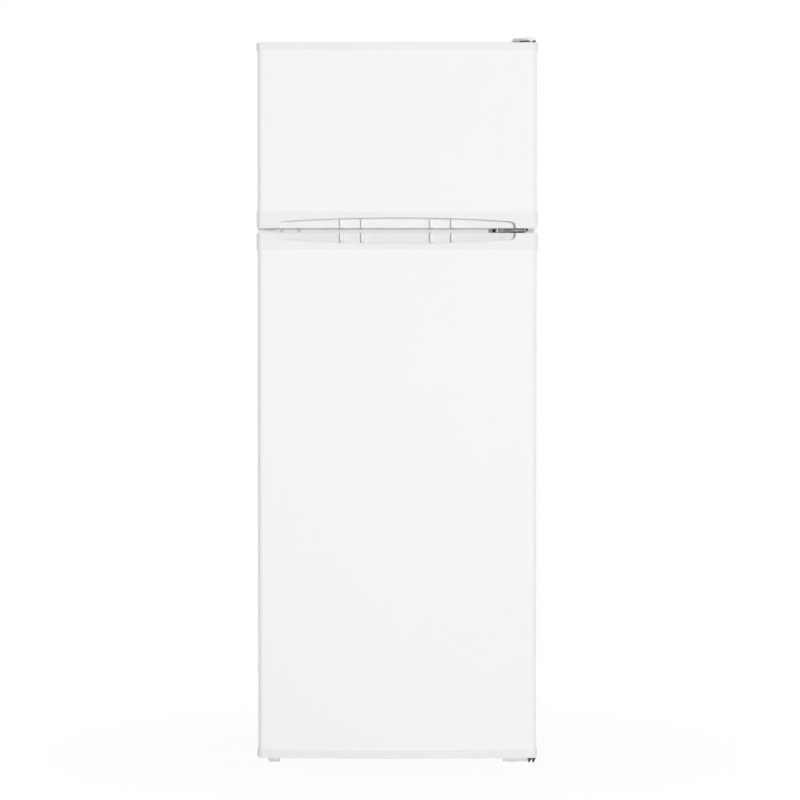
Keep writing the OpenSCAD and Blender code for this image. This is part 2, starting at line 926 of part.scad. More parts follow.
module compressor()
  color("#2e3033")
    union() {
      translate([comp_x, comp_y, comp_z])
        rotate_extrude() {
          translate([0, comp_foot_t])
            square([comp_d / 2 - comp_dome_r, comp_h - comp_foot_t]);
          translate([0, comp_foot_t + comp_base_r])
            square([comp_d / 2, comp_h - comp_foot_t - comp_base_r - comp_dome_r]);
          translate([comp_d / 2 - comp_dome_r, comp_h - comp_dome_r])
            intersection() {
              circle(r = comp_dome_r);
              square(comp_dome_r);
            }
          translate([comp_d / 2 - comp_base_r, comp_foot_t + comp_base_r])
            intersection() {
              circle(r = comp_base_r);
              translate([0, -comp_base_r])
                square(comp_base_r);
            }
          translate([comp_d / 2 - comp_dome_r - cut, comp_foot_t])
            square([comp_dome_r - comp_base_r + cut, comp_base_r + cut]);
          translate([comp_d / 2 - cut, comp_h / 2])
            square([comp_seam + cut, comp_seam_h]);
        }
      difference() {
        translate([comp_x, comp_y, comp_z])
          linear_extrude(comp_foot_t)
            round_rect(-grommet_x - comp_foot_edge, -grommet_y - comp_foot_edge,
              grommet_x + comp_foot_edge, grommet_y + comp_foot_edge, comp_foot_edge - 2);
        for (x = [-1, 1], y = [-1, 1])
          translate([comp_x + x * grommet_x, comp_y + y * grommet_y, comp_z - cut])
            cylinder(d = grommet_neck, h = comp_foot_t + 2 * cut);
      }
      for (stub = [[suction_y, suction_z], [discharge_y, discharge_z]])
        translate([comp_x + comp_d / 2 - 3, stub[0], stub[1]])
          rotate([0, 90, 0])
            cylinder(d = line_d + 3, h = stub_l + 3);
    }

module compressor_grommets()
  color("#1d1e20")
    for (x = [-1, 1], y = [-1, 1])
      translate([comp_x + x * grommet_x, comp_y + y * grommet_y, deck_z + deck_t]) {
        cylinder(d = grommet_d, h = grommet_h);
        cylinder(d = grommet_neck, h = grommet_h + comp_foot_t);
        translate([0, 0, grommet_h + comp_foot_t])
          cylinder(d = grommet_d - 3, h = 5);
      }

module relay_cover()
  color("#202225")
    difference() {
      translate([comp_x - comp_d / 2 - relay_t, comp_y - relay_w / 2, comp_z + 22])
        linear_extrude(relay_h)
          round_rect(0, 0, relay_t + 20, relay_w, relay_r);
      translate([comp_x, comp_y, comp_z])
        cylinder(d = comp_d + 2 * clear, h = comp_h);
      translate([comp_x, comp_y, comp_z + comp_h / 2 - clear])
        cylinder(d = comp_d + 2 * (comp_seam + clear), h = comp_seam_h + 2 * clear);
    }

// Serpentine tube
module condenser_tube()
  color("#3a3c3f")
    union() {
      for (i = [0:runs - 1])
        translate([-run_half, run_y, run_z0 + i * run_pitch])
          rotate([0, 90, 0])
            cylinder(d = condenser_tube_d, h = 2 * run_half, $fn = 24);
      for (i = [0:runs - 2])
        translate([(i % 2 == 0 ? 1 : -1) * run_half, run_y, run_z0 + (i + 0.5) * run_pitch])
          rotate([90, 0, 0])
            rotate([0, 0, i % 2 == 0 ? -90 : 90])
              rotate_extrude(angle = 180, $fn = 64)
                translate([run_pitch / 2, 0])
                  circle(d = condenser_tube_d, $fn = 24);
    }

// Upright wires on the outer side of the tube runs
module condenser_wires()
  color("#3a3c3f")
    for (x = [-wire_span:wire_pitch:wire_span])
      translate([x, back_y + condenser_d - wire_d / 2, run_z0 - wire_overhang])
        cylinder(d = wire_d, h = run_z1 - run_z0 + 2 * wire_overhang, $fn = 16);

module condenser_brackets()
  color("#46484b")
    for (side = [-1, 1], z = clip_z)
      difference() {
        along_x(side * clip_x - clip_w / 2, side * clip_x + clip_w / 2)
          translate([0, z]) {
            translate([run_y, 0])
              circle(d = condenser_tube_d + 5);
            translate([back_y, -condenser_tube_d / 2 - 1])
              square([run_y - back_y, condenser_tube_d + 2]);
            translate([back_y, -18])
              square([2, 36]);
          }
        translate([side * clip_x - clip_w, run_y, z])
          rotate([0, 90, 0])
            cylinder(d = condenser_tube_d + 0.2, h = 2 * clip_w);
        block([side * clip_x - clip_w, run_y + condenser_tube_d / 2, z - 6],
          [side * clip_x + clip_w, back_y + condenser_d + 2, z + 6]);
      }

// Round pipe through a list of points, with ball-shaped elbows
module pipe(points, d) {
  for (i = [0:len(points) - 2]) {
    a = points[i];
    b = points[i + 1];
    v = b - a;
    translate(a)
      rotate([0, acos(v[2] / norm(v)), atan2(v[1], v[0])])
        cylinder(d = d, h = norm(v), $fn = 32);
  }
  for (i = [1:len(points) - 2])
    translate(points[i])
      sphere(d = d, $fn = 32);
}

module filter_drier()
  color("#b87a4e")
    translate([drier_x, drier_y, drier_z])
      union() {
        cylinder(d = drier_d, h = drier_h);
        for (end = [0, 1])
          translate([0, 0, end * drier_h]) {
            sphere(d = drier_d);
            translate([0, 0, (end - 1) * drier_neck])
              cylinder(d = line_d, h = drier_neck);
          }
      }

// Discharge line up to the condenser, liquid line from it to the drier, and the suction line
// and capillary tube that run up into the foam
module refrigerant_lines()
  color("#b87a4e") {
    stub_x = comp_x + comp_d / 2 + stub_l + clear;
    out_x = comp_x + comp_d / 2 + 40;
    joint_z = run_z0 - condenser_tube_d / 2 - 0.1;
    pipe([
      [stub_x, discharge_y, discharge_z],
      [out_x, discharge_y, discharge_z],
      [out_x, discharge_y, bay_top - 20],
      [out_x, riser_y, bay_top - 20],
      [out_x, riser_y, run_z0 - 20],
      [out_x, run_y, run_z0 - 20],
      [out_x, run_y, joint_z]
    ], condenser_tube_d);
    pipe([
      [stub_x, suction_y, suction_z],
      [out_x + 14, suction_y, suction_z],
      [out_x + 14, suction_y, bay_top]
    ], line_d);
    pipe([
      [drier_x, drier_y, drier_z + drier_h + drier_neck],
      [drier_x, drier_y, bay_top - 14],
      [drier_x, riser_y, bay_top - 14],
      [drier_x, riser_y, run_z0 - 20],
      [drier_x, run_y, run_z0 - 20],
      [drier_x, run_y, joint_z]
    ], condenser_tube_d);
    pipe([
      [drier_x, drier_y, drier_z - drier_neck],
      [drier_x, drier_y, drier_z - 30],
      [drier_x - capillary_x, drier_y, drier_z - 30],
      [drier_x - capillary_x, drier_y, bay_top]
    ], capillary_d);
  }

module drain_pan()
  color("#e3e4e5")
    tray(pan_x0, pan_y0, pan_z, pan_x1, pan_y1, pan_z + pan_h, pan_r, bin_wall);

// Route of the drain tube, from y0 in the gutter down to z1 in the bay
module drain_path(d, y0, z1)
  pipe([[drain_x, y0, drain_z], [drain_x, drain_y, drain_z], [drain_x, drain_y, z1]], d);

module drain_tube()
  color("#d9dadb")
    difference() {
      drain_path(drain_d, room_back - gutter_y + clear, bay_top - 4);
      drain_path(drain_d - 3, room_back - gutter_y - cut, bay_top - 4 - cut);
    }

// Cord gland on the rear lip of the compressor rail
module mains_inlet()
  color("#1d1e20")
    translate([inlet_x, back_y - 6, deck_z + 14])
      difference() {
        union() {
          along_y(0, 3)
            round_rect(-13, -14, 13, 13, 3);
          rotate([-90, 0, 0])
            cylinder(d = gland_d, h = gland_l);
        }
        translate([0, -cut, 0])
          rotate([-90, 0, 0])
            cylinder(d = gland_hole_d, h = gland_l + 2 * cut);
      }

// Evaporator plate with the channel that its two sheets form, on four standoffs
module evaporator_plate()
  color("#c7cacd") {
    plate_y = room_back - evap_gap;
    sheet_y = plate_y - evap_t;
    half = evap_w / 2;
    z0 = drain_z + 26;
    z1 = box_z0 - 12;
    pitch = evap_pitch;
    rows = floor((z1 - z0 - 30) / pitch);
    channel = evap_channel / 2;
    along_y(sheet_y, plate_y)
      round_rect(-half, z0, half, z1, 10);
    along_y(sheet_y - 2.5, sheet_y)
      for (i = [0:rows]) {
        row_z = z0 + 16 + i * pitch;
        round_rect(20 - half, row_z - channel, half - 20, row_z + channel, channel - 0.1);
        if (i < rows)
          translate([(i % 2 == 0 ? 1 : -1) * (half - 20 - channel) - channel, row_z])
            square([2 * channel, pitch]);
      }
    for (x = [10 - half, half - 10], z = [z0 + 12, z1 - 12])
      translate([x, plate_y, z])
        rotate([-90, 0, 0])
          cylinder(d = 8, h = room_back - plate_y - clear);
  }

// Evaporator tube wound round the freezer liner, inside the foam
module coil_loops(gap) {
  half = room_w + coil_gap;
  z0 = freezer_z0 - coil_gap;
  z1 = freezer_z1 + coil_gap;
  d = coil_d + 2 * gap;
  for (i = [0:coils - 1])
    translate([0, coil_y0 + i * coil_pitch, 0])
      rotate([90, 0, 0]) {
        for (z = [z0, z1])
          translate([coil_r - half, z, 0])
            rotate([0, 90, 0])
              cylinder(d = d, h = 2 * (half - coil_r), $fn = 24);
        for (x = [-half, half])
          translate([x, z0 + coil_r, 0])
            rotate([-90, 0, 0])
              cylinder(d = d, h = z1 - z0 - 2 * coil_r, $fn = 24);
        for (a = [0:90:270])
          translate([(a % 270 == 0 ? 1 : -1) * (half - coil_r), a < 180 ? z1 - coil_r : z0 + coil_r, 0])
            rotate([0, 0, a])
              rotate_extrude(angle = 90)
                translate([coil_r, 0])
                  circle(d = d, $fn = 24);
      }
}

module freezer_coil()
  color("#c08552")
    coil_loops(0);

// ---------------------------------------------------------------- fridge inside

// Hollow housing under the ceiling, open at the top
module thermostat_housing()
  color("#f4f5f6")
    difference() {
      along_y(box_y0, box_y1)
        intersection() {
          round_rect(box_x0, box_z0, box_x1, fridge_z1 + 20, box_r);
          translate([box_x0, box_z0])
            square([box_x1 - box_x0, fridge_z1 - clear - box_z0]);
        }
      along_y(box_y0 + box_wall, box_y1 - box_wall)
        intersection() {
          round_rect(box_x0 + box_wall, box_z0 + box_wall, box_x1 - box_wall, fridge_z1 + 20,
            box_r - box_wall);
          translate([box_x0, box_z0])
            square([box_x1 - box_x0, fridge_z1 + cut - box_z0]);
        }
      translate([knob_x, box_y0 - cut, knob_z])
        rotate([-90, 0, 0])
          cylinder(d = knob_shaft_d + 2 * clear, h = box_wall + 2 * cut);
      translate([switch_x, box_y0 - cut, switch_z])
        rotate([-90, 0, 0])
          cylinder(d = switch_d + 2 * clear, h = box_wall + 2 * cut);
      block([lens_x0, lens_y0, box_z0 - cut], [lens_x1, lens_y1, box_z0 + box_wall + cut]);
    }

// Dial with a grip bar across its face
module thermostat_knob()
  color("#e6e8ea")
    translate([knob_x, box_y0 - clear, knob_z])
      rotate([90, 0, 0])
        union() {
          cylinder(d = knob_d, h = knob_h - 7);
          cylinder(d = knob_d - 4, h = knob_h - 6);
          translate([0, 0, -box_wall - clear - 8])
            cylinder(d = knob_shaft_d, h = box_wall + clear + 9);
          intersection() {
            cylinder(d = knob_d - 6, h = knob_h);
            block([-3.5, -knob_d, 0], [3.5, knob_d, knob_h]);
          }
        }

// Bulb in its socket on the housing's rear wall
module lamp_bulb()
  color("#f5ead0")
    translate([(lens_x0 + lens_x1) / 2, bulb_y, box_z0 + 24])
      rotate([-90, 0, 0]) {
        sphere(d = bulb_d);
        cylinder(d = 15, h = bulb_neck);
        translate([0, 0, bulb_neck])
          cylinder(d = 17, h = socket_h);
      }

// Clear cover let into the housing's floor, with grooves across its face
module lamp_lens()
  color("#dfe6ea")
    difference() {
      block([lens_x0 + clear, lens_y0 + clear, box_z0 - lens_drop],
        [lens_x1 - clear, lens_y1 - clear, box_z0 + box_wall]);
      block([lens_x0 + lens_wall, lens_y0 + lens_wall, box_z0 - lens_drop + 2],
        [lens_x1 - lens_wall, lens_y1 - lens_wall, box_z0 + box_wall + cut]);
      for (y = [lens_y0 + 12:8:lens_y1 - 8])
        block([lens_x0 + 10, y, box_z0 - lens_drop - cut], [lens_x1 - 10, y + 3, box_z0 - lens_drop + 1]);
    }

// Plunger that the closed door holds in, with a collar inside the housing
module lamp_switch()
  color("#f0f1f2")
    translate([switch_x, switch_y, switch_z])
      rotate([-90, 0, 0])
        union() {
          translate([0, 0, switch_d / 2]) {
            sphere(d = switch_d);
            cylinder(d = switch_d, h = box_y0 + box_wall + 12 - switch_y - switch_d / 2);
          }
          translate([0, 0, box_y0 + box_wall + 9 - switch_y])
            cylinder(d = switch_d + 4, h = 2);
        }

module shelf_glass()
  color("#cfe3df")
    for (i = [1:shelves])
      block([4 - room_w, shelf_y + 4, level_0 + i * level_step + clear],
        [room_w - 4, shelf_back - 4, level_0 + i * level_step + clear + glass_t]);

// Moulded trim that holds a glass edge: a channel with a rounded nose
module shelf_trim(y, dir, z)
  along_x(3 - room_w, room_w - 3)
    difference() {
      union() {
        translate([dir > 0 ? y - 5 : y - 9, z - 2])
          square([14, glass_t + 5]);
        translate([dir > 0 ? y - 5 : y + 5, z + glass_t / 2 + 0.5])
          circle(d = glass_t + 5);
      }
      translate([dir > 0 ? y : y - 9 - cut, z - clear / 2])
        square([9 + cut, glass_t + clear]);
    }

// Room for the ledge under the end of a shelf trim
module ledge_space(side, z)
  side_block(side, room_w - ledge_w - 1, room_w, shelf_y - 20, shelf_back + 20, z - 20, z + clear / 2);

// Front and rear trims of the glass shelves
module shelf_frames()
  color("#eef0f1")
    for (i = [1:shelves])
      difference() {
        union() {
          shelf_trim(shelf_y + 4 - clear / 2, 1, level_0 + i * level_step + clear);
          shelf_trim(shelf_back - 4 + clear / 2, -1, level_0 + i * level_step + clear);
        }
        for (side = [-1, 1])
          ledge_space(side, level_0 + i * level_step);
      }

// Cover over the crisper, which is also the lowest shelf
module crisper_cover()
  color("#e9ecee")
    difference() {
      union() {
        block([3 - room_w, shelf_y, level_0 + clear], [room_w - 3, shelf_back, level_0 + clear + glass_t]);
        along_x(3 - room_w, room_w - 3)
          translate([shelf_y, level_0 + clear + glass_t / 2])
            circle(d = glass_t + 5);
      }
      for (side = [-1, 1])
        ledge_space(side, level_0);
    }

// Vegetable drawer: tray, rim that runs on the ledges, and a pull along the top of the front
module crisper_drawer()
  color("#dfe9ee")
    union() {
      tray(-drawer_half, drawer_y0, fridge_z0 + clear, drawer_half, drawer_y1, rim_z + ear_t, 12, bin_wall);
      for (side = [-1, 1])
        side_block(side, drawer_half - 1, rim_half, drawer_y0 + 12, drawer_y1 - 12, rim_z, rim_z + ear_t);
      along_x(-pull_w / 2, pull_w / 2)
        difference() {
          union() {
            translate([drawer_y0 - pull_y, rim_z - pull_h])
              square([pull_y + 1, pull_h + ear_t]);
            translate([drawer_y0 - pull_y, rim_z + ear_t - 3])
              circle(r = 3);
          }
          translate([drawer_y0 + bin_wall - pull_y, rim_z - pull_h - cut])
            square([pull_y - bin_wall, pull_h + cut - bin_wall]);
        }
    }

// ---------------------------------------------------------------- freezer inside

module freezer_shelf()
  color("#f2f3f4") {
    half = room_w - 3;
    rod_z = freezer_shelf_z + shelf_rod_d / 2 + clear;
    for (y = [shelf_y + 6, (shelf_y + shelf_back) / 2, shelf_back - 6])
      translate([-half, y, rod_z])
        rotate([0, 90, 0])
          cylinder(d = shelf_rod_d, h = 2 * half, $fn = 32);
    count = floor(2 * (half - 12) / shelf_wire_pitch);
    for (i = [0:count])
      translate([(i - count / 2) * shelf_wire_pitch, shelf_y + 2, freezer_shelf_top - shelf_wire_d / 2])
        rotate([-90, 0, 0])
          cylinder(d = shelf_wire_d, h = shelf_back - shelf_y - 4, $fn = 24);
  }

// Ice tray with two rows of cells
module ice_tray()
  color("#bcd3e6") {
    step = ice_cell + ice_wall;
    w = 2 * step + ice_wall;
    l = ice_cells * step + ice_wall;
    translate([60, shelf_y + 24, freezer_shelf_top + clear])
      difference() {
        union() {
          linear_extrude(ice_h)
            round_rect(0, 0, w, l, 6);
          translate([0, 0, ice_h - ice_wall])
            linear_extrude(ice_wall)
              round_rect(-ice_rim, -ice_end, w + ice_rim, l + ice_end, 8);
        }
        for (i = [0:1], j = [0:ice_cells - 1])
          translate([ice_wall + i * step, ice_wall + j * step, ice_wall])
            linear_extrude(ice_h)
              round_rect(0, 0, ice_cell, ice_cell, ice_cell_r);
      }
  }

// ---------------------------------------------------------------- doors

// Front view of the handle recess above a cap's open edge, with rounded upper corners
module grip_outline() {
  arc_r = (pow(grip_w / 2, 2) + pow(grip_rise, 2)) / (2 * grip_rise);
  intersection() {
    translate([0, grip_end_h + grip_rise - arc_r])
      circle(r = arc_r, $fn = 360);
    translate([grip_corner_r - grip_w / 2, -cut])
      square([grip_w - 2 * grip_corner_r, grip_end_h + grip_rise + 2 * cut]);
  }
  for (side = [-1, 1])
    translate([side * (grip_w / 2 - grip_corner_r), grip_end_h - grip_corner_r])
      circle(r = grip_corner_r);
  translate([-grip_w / 2, -cut])
    square([grip_w, grip_end_h - grip_corner_r + cut]);
}

// Space that the fingers use: the recess, and the undercut behind the front lip
module grip_space()
  difference() {
    union() {
      along_y(-door_bow - cut, grip_depth)
        grip_outline();
      intersection() {
        translate([0, 0, -cut])
          linear_extrude(grip_roof + cut)
            door_plan(-grip_lip, body_t);
        along_y(-door_bow, grip_depth)
          round_rect(12 - grip_w / 2, -20, grip_w / 2 - 12, grip_roof, 6);
      }
    }
    for (side = [-1, 1], x = [grip_rib_inner, grip_rib_outer])
      block([side * x - grip_rib_w / 2, grip_depth - 3, -2 * cut],
        [side * x + grip_rib_w / 2, grip_depth + cut, grip_end_h + grip_rise + cut]);
  }

// End cap for the lower end of a door, with its closed face at z = 0, a boss for the hinge bush
// and, if grip is true, the handle recess
module end_cap(h, grip)
  difference() {
    union() {
      difference() {
        intersection() {
          linear_extrude(h)
            door_plan(0, body_t);
          along_y(-door_bow - cut, body_t + cut)
            cap_front(h);
        }
        cap_cavity(h, grip, h + cut);
      }
      translate([axis_x, axis_depth, 0])
        cylinder(d = bush_boss_d, h = min(h, bush_boss_h));
    }
    translate([axis_x, axis_depth, -cut])
      cylinder(d = bush_d, h = pin_l + 2 + cut);
    if (grip)
      grip_space();
  }

// Front view of a cap, round at the corners of its closed face and a hair larger than the cap
module cap_front(h) {
  ease = 0.3;
  corner_x = door_w / 2 + ease - cap_corner_r;
  corner_z = cap_corner_r - ease;
  translate([-corner_x - cap_corner_r, corner_z])
    square([2 * (corner_x + cap_corner_r), h]);
  translate([-corner_x, -ease])
    square([2 * corner_x, h]);
  for (side = [-1, 1])
    translate([side * corner_x, corner_z])
      circle(r = cap_corner_r);
}

// Hollow of a cap up to z = top, filled with foam
module cap_cavity(h, grip, top)
  difference() {
    translate([0, 0, cap_wall])
      linear_extrude(top - cap_wall)
        door_plan(-cap_step - cap_wall, body_t - cap_wall);
    if (grip)
      block([-grip_w / 2 - cap_wall, -door_bow - cut, 0],
        [grip_w / 2 + cap_wall, grip_depth + cap_wall, h - cap_wall]);
  }

// Puts an end cap's shape at the lower or the upper end of a door
module at_bottom(z)
  translate([0, edge_y, z])
    children();

module at_top(z)
  translate([0, edge_y, z])
    mirror([0, 0, 1])
      children();

// Steel skin: bowed front, two sides, and lips folded in at the back
module door_skin(z0, z1)
  translate([0, edge_y, z0])
    difference() {
      linear_extrude(z1 - z0)
        door_plan(-cap_step, body_t);
      translate([0, 0, -cut])
        linear_extrude(z1 - z0 + 2 * cut)
          door_plan(-cap_step - sheet_t, body_t - sheet_t);
      block([skin_lip - door_w / 2, body_t - 2 * sheet_t, -cut],
        [door_w / 2 - skin_lip, body_t + cut, z1 - z0 + cut]);
    }

// Foam of a door between its end caps' hollows, with room for the bush bosses
module door_foam(z0, z1, low_h, low_grip, high_h, high_grip)
  difference() {
    union() {
      translate([0, edge_y, z0 + low_h]) {
        linear_extrude(z1 - z0 - low_h - high_h)
          door_plan(-cap_step - sheet_t, body_t - sheet_t);
        block([skin_lip - door_w / 2, body_t - 2 * sheet_t, 0],
          [door_w / 2 - skin_lip, body_t, z1 - z0 - low_h - high_h]);
      }
      at_bottom(z0)
        cap_cavity(low_h, low_grip, low_h);
      at_top(z1)
        cap_cavity(high_h, high_grip, high_h);
    }
    translate([axis_x, axis_y, z0 - cut])
      cylinder(d = bush_boss_d, h = min(low_h, bush_boss_h) + cut);
    translate([axis_x, axis_y, z1 - min(high_h, bush_boss_h)])
      cylinder(d = bush_boss_d, h = bush_boss_h);
  }

// Front view of the raised frame on a door liner, for the compartment from z0 to z1
module dyke_outline(z0, z1, inset)
  difference() {
    round_rect(inset - dyke_out, z0 + dyke_gap + inset, dyke_out - inset, z1 - dyke_gap - inset,
      dyke_r - inset);
    round_rect(-dyke_in - inset, z0 + dyke_gap + dyke_w - inset, dyke_in + inset,
      z1 - dyke_gap - dyke_w + inset, dyke_r / 2 + inset);
  }

// Formed liner of a door: back sheet, hollow raised frame, and bosses that carry the bins
module door_liner(door_z0, door_z1, room_z0, room_z1, boss_z)
  color("#f6f7f8")
    difference() {
      union() {
        along_y(door_back_y - liner_t, door_back_y)
          round_rect(9 - door_w / 2, door_z0 + 6, door_w / 2 - 9, door_z1 - 6, 8);
        along_y(door_back_y - liner_t, door_back_y + dyke_d)
          dyke_outline(room_z0, room_z1, 0);
        for (z = boss_z, side = [-1, 1])
          along_y(door_back_y, door_back_y + dyke_d - 6)
            translate([side * dyke_in - boss_w, z - 14])
              round_rect(0, 0, 2 * boss_w, 14, 3);
      }
      along_y(door_back_y - liner_t - cut, door_back_y + dyke_d - liner_t)
        dyke_outline(room_z0, room_z1, liner_t);
    }

// Magnetic gasket: base strip, narrower bellows and sealing face
module gasket(z0, z1)
  color("#dcdddf") {
    base = 2.5;
    face = 2.5;
    gasket_ring(z0, z1, door_back_y, door_back_y + base, 0);
    gasket_ring(z0, z1, door_back_y + base, front_y - clear - face, 3);
    gasket_ring(z0, z1, front_y - clear - face, front_y - clear, 1);
  }

module gasket_ring(z0, z1, y0, y1, inset)
  along_y(y0, y1)
    difference() {
      gasket_edge(z0, z1, gasket_w - inset);
      gasket_edge(z0, z1, inset);
    }

module gasket_edge(z0, z1, grow) {
  d = gasket_room + grow;
  round_rect(-room_w - d, z0 - d, room_w + d, z1 + d, 10 + grow);
}

// Bush with a collar on the outside of the door
module bush(collar)
  difference() {
    union() {
      cylinder(d = bush_d, h = pin_l + 2);
      translate([0, 0, -collar])
        cylinder(d = bush_d + 6, h = collar);
    }
    translate([0, 0, -collar - cut])
      cylinder(d = pin_d + 2 * clear, h = pin_l + collar + 3 * cut);
  }

module door_bushes(z0, z1, low_gap, high_gap)
  color("#e4e5e7")
    translate([axis_x, axis_y, 0]) {
      translate([0, 0, z0])
        bush(low_gap - clear);
      translate([0, 0, z1])
        mirror([0, 0, 1])
          bush(high_gap - clear);
    }

// Lift-off door bin: tray, ears that stand on the liner's bosses, and a rail across the front
module door_bin(z, h)
  color("#e8eef1")
    union() {
      tray(-bin_out, bin_y, z, bin_out, bin_front, z + h, 14, bin_wall);
      for (side = [-1, 1])
        side_block(side, bin_out - 1, dyke_in - 1, bin_y + 4, bin_y + 30, z + h - ear_drop,
          z + h - ear_drop + ear_t);
      translate([0, 0, z + h - 9])
        linear_extrude(6)
          difference() {
            round_rect(-bin_out - rail_t, bin_front - 30, bin_out + rail_t, bin_front + rail_t, 14);
            round_rect(1 - bin_out, bin_front - 60, bin_out - 1, bin_front - 1, 13);
            translate([-bin_out - 2 * rail_t, bin_front - 31])
              square([2 * bin_out + 4 * rail_t, 14]);
          }
    }

module freezer_door_skin()
  color("#f4f5f7")
    door_skin(freezer_door_z + handle_cap_h, freezer_door_top - plain_cap_h);

module freezer_door_top_cap()
  color("#eff0f1")
    at_top(freezer_door_top)
      end_cap(plain_cap_h, false);

module freezer_door_handle_cap()
  color("#eff0f1")
    at_bottom(freezer_door_z)
      end_cap(handle_cap_h, true);

module freezer_door_foam()
  color("#e9dfae")
    door_foam(freezer_door_z, freezer_door_top, handle_cap_h, true, plain_cap_h, false);

module freezer_door_liner()
  door_liner(freezer_door_z, freezer_door_top, freezer_z0, freezer_z1,
    [freezer_bin_z + freezer_bin_h - ear_drop - clear]);

module freezer_door_gasket()
  gasket(freezer_z0, freezer_z1);

module freezer_door_bushes()
  door_bushes(freezer_door_z, freezer_door_top, (door_gap - plate_t) / 2, leaf_z - freezer_door_top);

module freezer_door_bin()
  door_bin(freezer_bin_z, freezer_bin_h);

module fridge_door_skin()
  color("#f4f5f7")
    door_skin(fridge_door_z + plain_cap_h, fridge_door_top - handle_cap_h);

module fridge_door_handle_cap()
  color("#eff0f1")
    at_top(fridge_door_top)
      end_cap(handle_cap_h, true);

module fridge_door_bottom_cap()
  color("#eff0f1")
    at_bottom(fridge_door_z)
      end_cap(plain_cap_h, false);

module fridge_door_foam()
  color("#e9dfae")
    door_foam(fridge_door_z, fridge_door_top, plain_cap_h, false, handle_cap_h, true);

module fridge_door_liner()
  door_liner(fridge_door_z, fridge_door_top, fridge_z0, fridge_z1, [
    upper_bin_z + upper_bin_h - ear_drop - clear,
    middle_bin_z + middle_bin_h - ear_drop - clear,
    bottle_bin_z + bottle_bin_h - ear_drop - clear
  ]);

module fridge_door_gasket()
  gasket(fridge_z0, fridge_z1);

module fridge_door_bushes()
  door_bushes(fridge_door_z, fridge_door_top, fridge_door_z - cabinet_base, (door_gap - plate_t) / 2);

module upper_door_bin()
  door_bin(upper_bin_z, upper_bin_h);

module middle_door_bin()
  door_bin(middle_bin_z, middle_bin_h);

module bottle_bin()
  door_bin(bottle_bin_z, bottle_bin_h);

outer_shell();
rear_panel();
base_deck();
cabinet_foam();
freezer_liner();
fridge_liner();
divider_strip();
top_hinge();
top_hinge_cover();
center_hinge();
bottom_hinge();
hinge_screws();
hinge_hole_plugs();
compressor();
compressor_grommets();
relay_cover();
condenser_tube();
condenser_wires();
condenser_brackets();
filter_drier();
refrigerant_lines();
drain_pan();
drain_tube();
mains_inlet();
evaporator_plate();
freezer_coil();
thermostat_housing();
thermostat_knob();
lamp_bulb();
lamp_lens();
lamp_switch();
shelf_glass();
shelf_frames();
crisper_cover();
crisper_drawer();
freezer_shelf();
ice_tray();
front_left_foot();
front_right_foot();
roller_brackets();
left_rear_roller();
right_rear_roller();
freezer_door_skin();
freezer_door_top_cap();
freezer_door_handle_cap();
freezer_door_foam();
freezer_door_liner();
freezer_door_gasket();
freezer_door_bushes();
freezer_door_bin();
fridge_door_skin();
fridge_door_handle_cap();
fridge_door_bottom_cap();
fridge_door_foam();
fridge_door_liner();
fridge_door_gasket();
fridge_door_bushes();
upper_door_bin();
middle_door_bin();
bottle_bin();
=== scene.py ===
import json
import math

import bmesh
import bpy
from bpy.props import FloatProperty, FloatVectorProperty, PointerProperty
from bpy.types import Operator, Panel, PropertyGroup
from mathutils import Matrix, Vector

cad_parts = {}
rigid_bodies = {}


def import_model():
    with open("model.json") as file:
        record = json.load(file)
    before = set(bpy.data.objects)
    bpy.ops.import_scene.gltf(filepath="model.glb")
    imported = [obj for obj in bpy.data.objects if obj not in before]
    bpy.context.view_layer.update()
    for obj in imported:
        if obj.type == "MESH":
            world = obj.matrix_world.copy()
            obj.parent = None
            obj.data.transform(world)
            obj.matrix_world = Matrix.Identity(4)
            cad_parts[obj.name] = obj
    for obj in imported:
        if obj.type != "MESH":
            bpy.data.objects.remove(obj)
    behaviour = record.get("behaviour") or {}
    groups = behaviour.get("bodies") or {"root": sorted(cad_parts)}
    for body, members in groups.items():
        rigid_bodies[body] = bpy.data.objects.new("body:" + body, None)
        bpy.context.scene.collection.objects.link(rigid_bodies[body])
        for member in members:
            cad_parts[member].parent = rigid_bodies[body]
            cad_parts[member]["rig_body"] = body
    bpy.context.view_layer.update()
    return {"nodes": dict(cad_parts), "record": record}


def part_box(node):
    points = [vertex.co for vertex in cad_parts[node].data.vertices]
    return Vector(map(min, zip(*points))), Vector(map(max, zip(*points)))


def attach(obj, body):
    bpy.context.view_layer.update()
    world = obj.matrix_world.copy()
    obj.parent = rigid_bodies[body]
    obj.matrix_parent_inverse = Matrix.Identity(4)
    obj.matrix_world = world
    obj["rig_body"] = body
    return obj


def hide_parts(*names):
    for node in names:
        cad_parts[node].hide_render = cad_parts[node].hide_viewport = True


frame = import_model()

bl_info = {
    "name": "Top freezer refrigerator",
    "version": (1, 0, 0),
    "blender": (4, 5, 0),
    "location": "View3D > Sidebar > Refrigerator",
    "description": "Dresses the refrigerator's parts with modelled pieces and finishes",
    "category": "Object",
}

MM = 0.001
SLOT_OF = {part["node"]: part["material_slot"] for part in frame["record"]["subparts"]}
COLOR_OF = {m["slot"]: tuple(m["base_color"][:3]) for m in frame["record"]["materials"]}
# A white film closes the foam at the cabinet's front, which shows in the corners beside the liners
FILM_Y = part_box("cabinet_foam")[0].y + 0.1 * MM
FILM_BLEND = 0.2 * MM
FILM_COLOR = (0.88, 0.885, 0.89)

# ---------------------------------------------------------------- settings


def color_property(name, slot):
    """A colour that starts as the record's colour for a material slot."""
    return FloatVectorProperty(
        name=name,
        description=f"Colour of the {name.lower()}",
        size=3,
        subtype="COLOR",
        min=0.0,
        max=1.0,
        default=COLOR_OF[slot],
    )


def length_property(name, description, default):
    """A length in metres that a user would change."""
    return FloatProperty(
        name=name,
        description=description,
        unit="LENGTH",
        subtype="DISTANCE",
        min=0.0,
        default=default,
    )


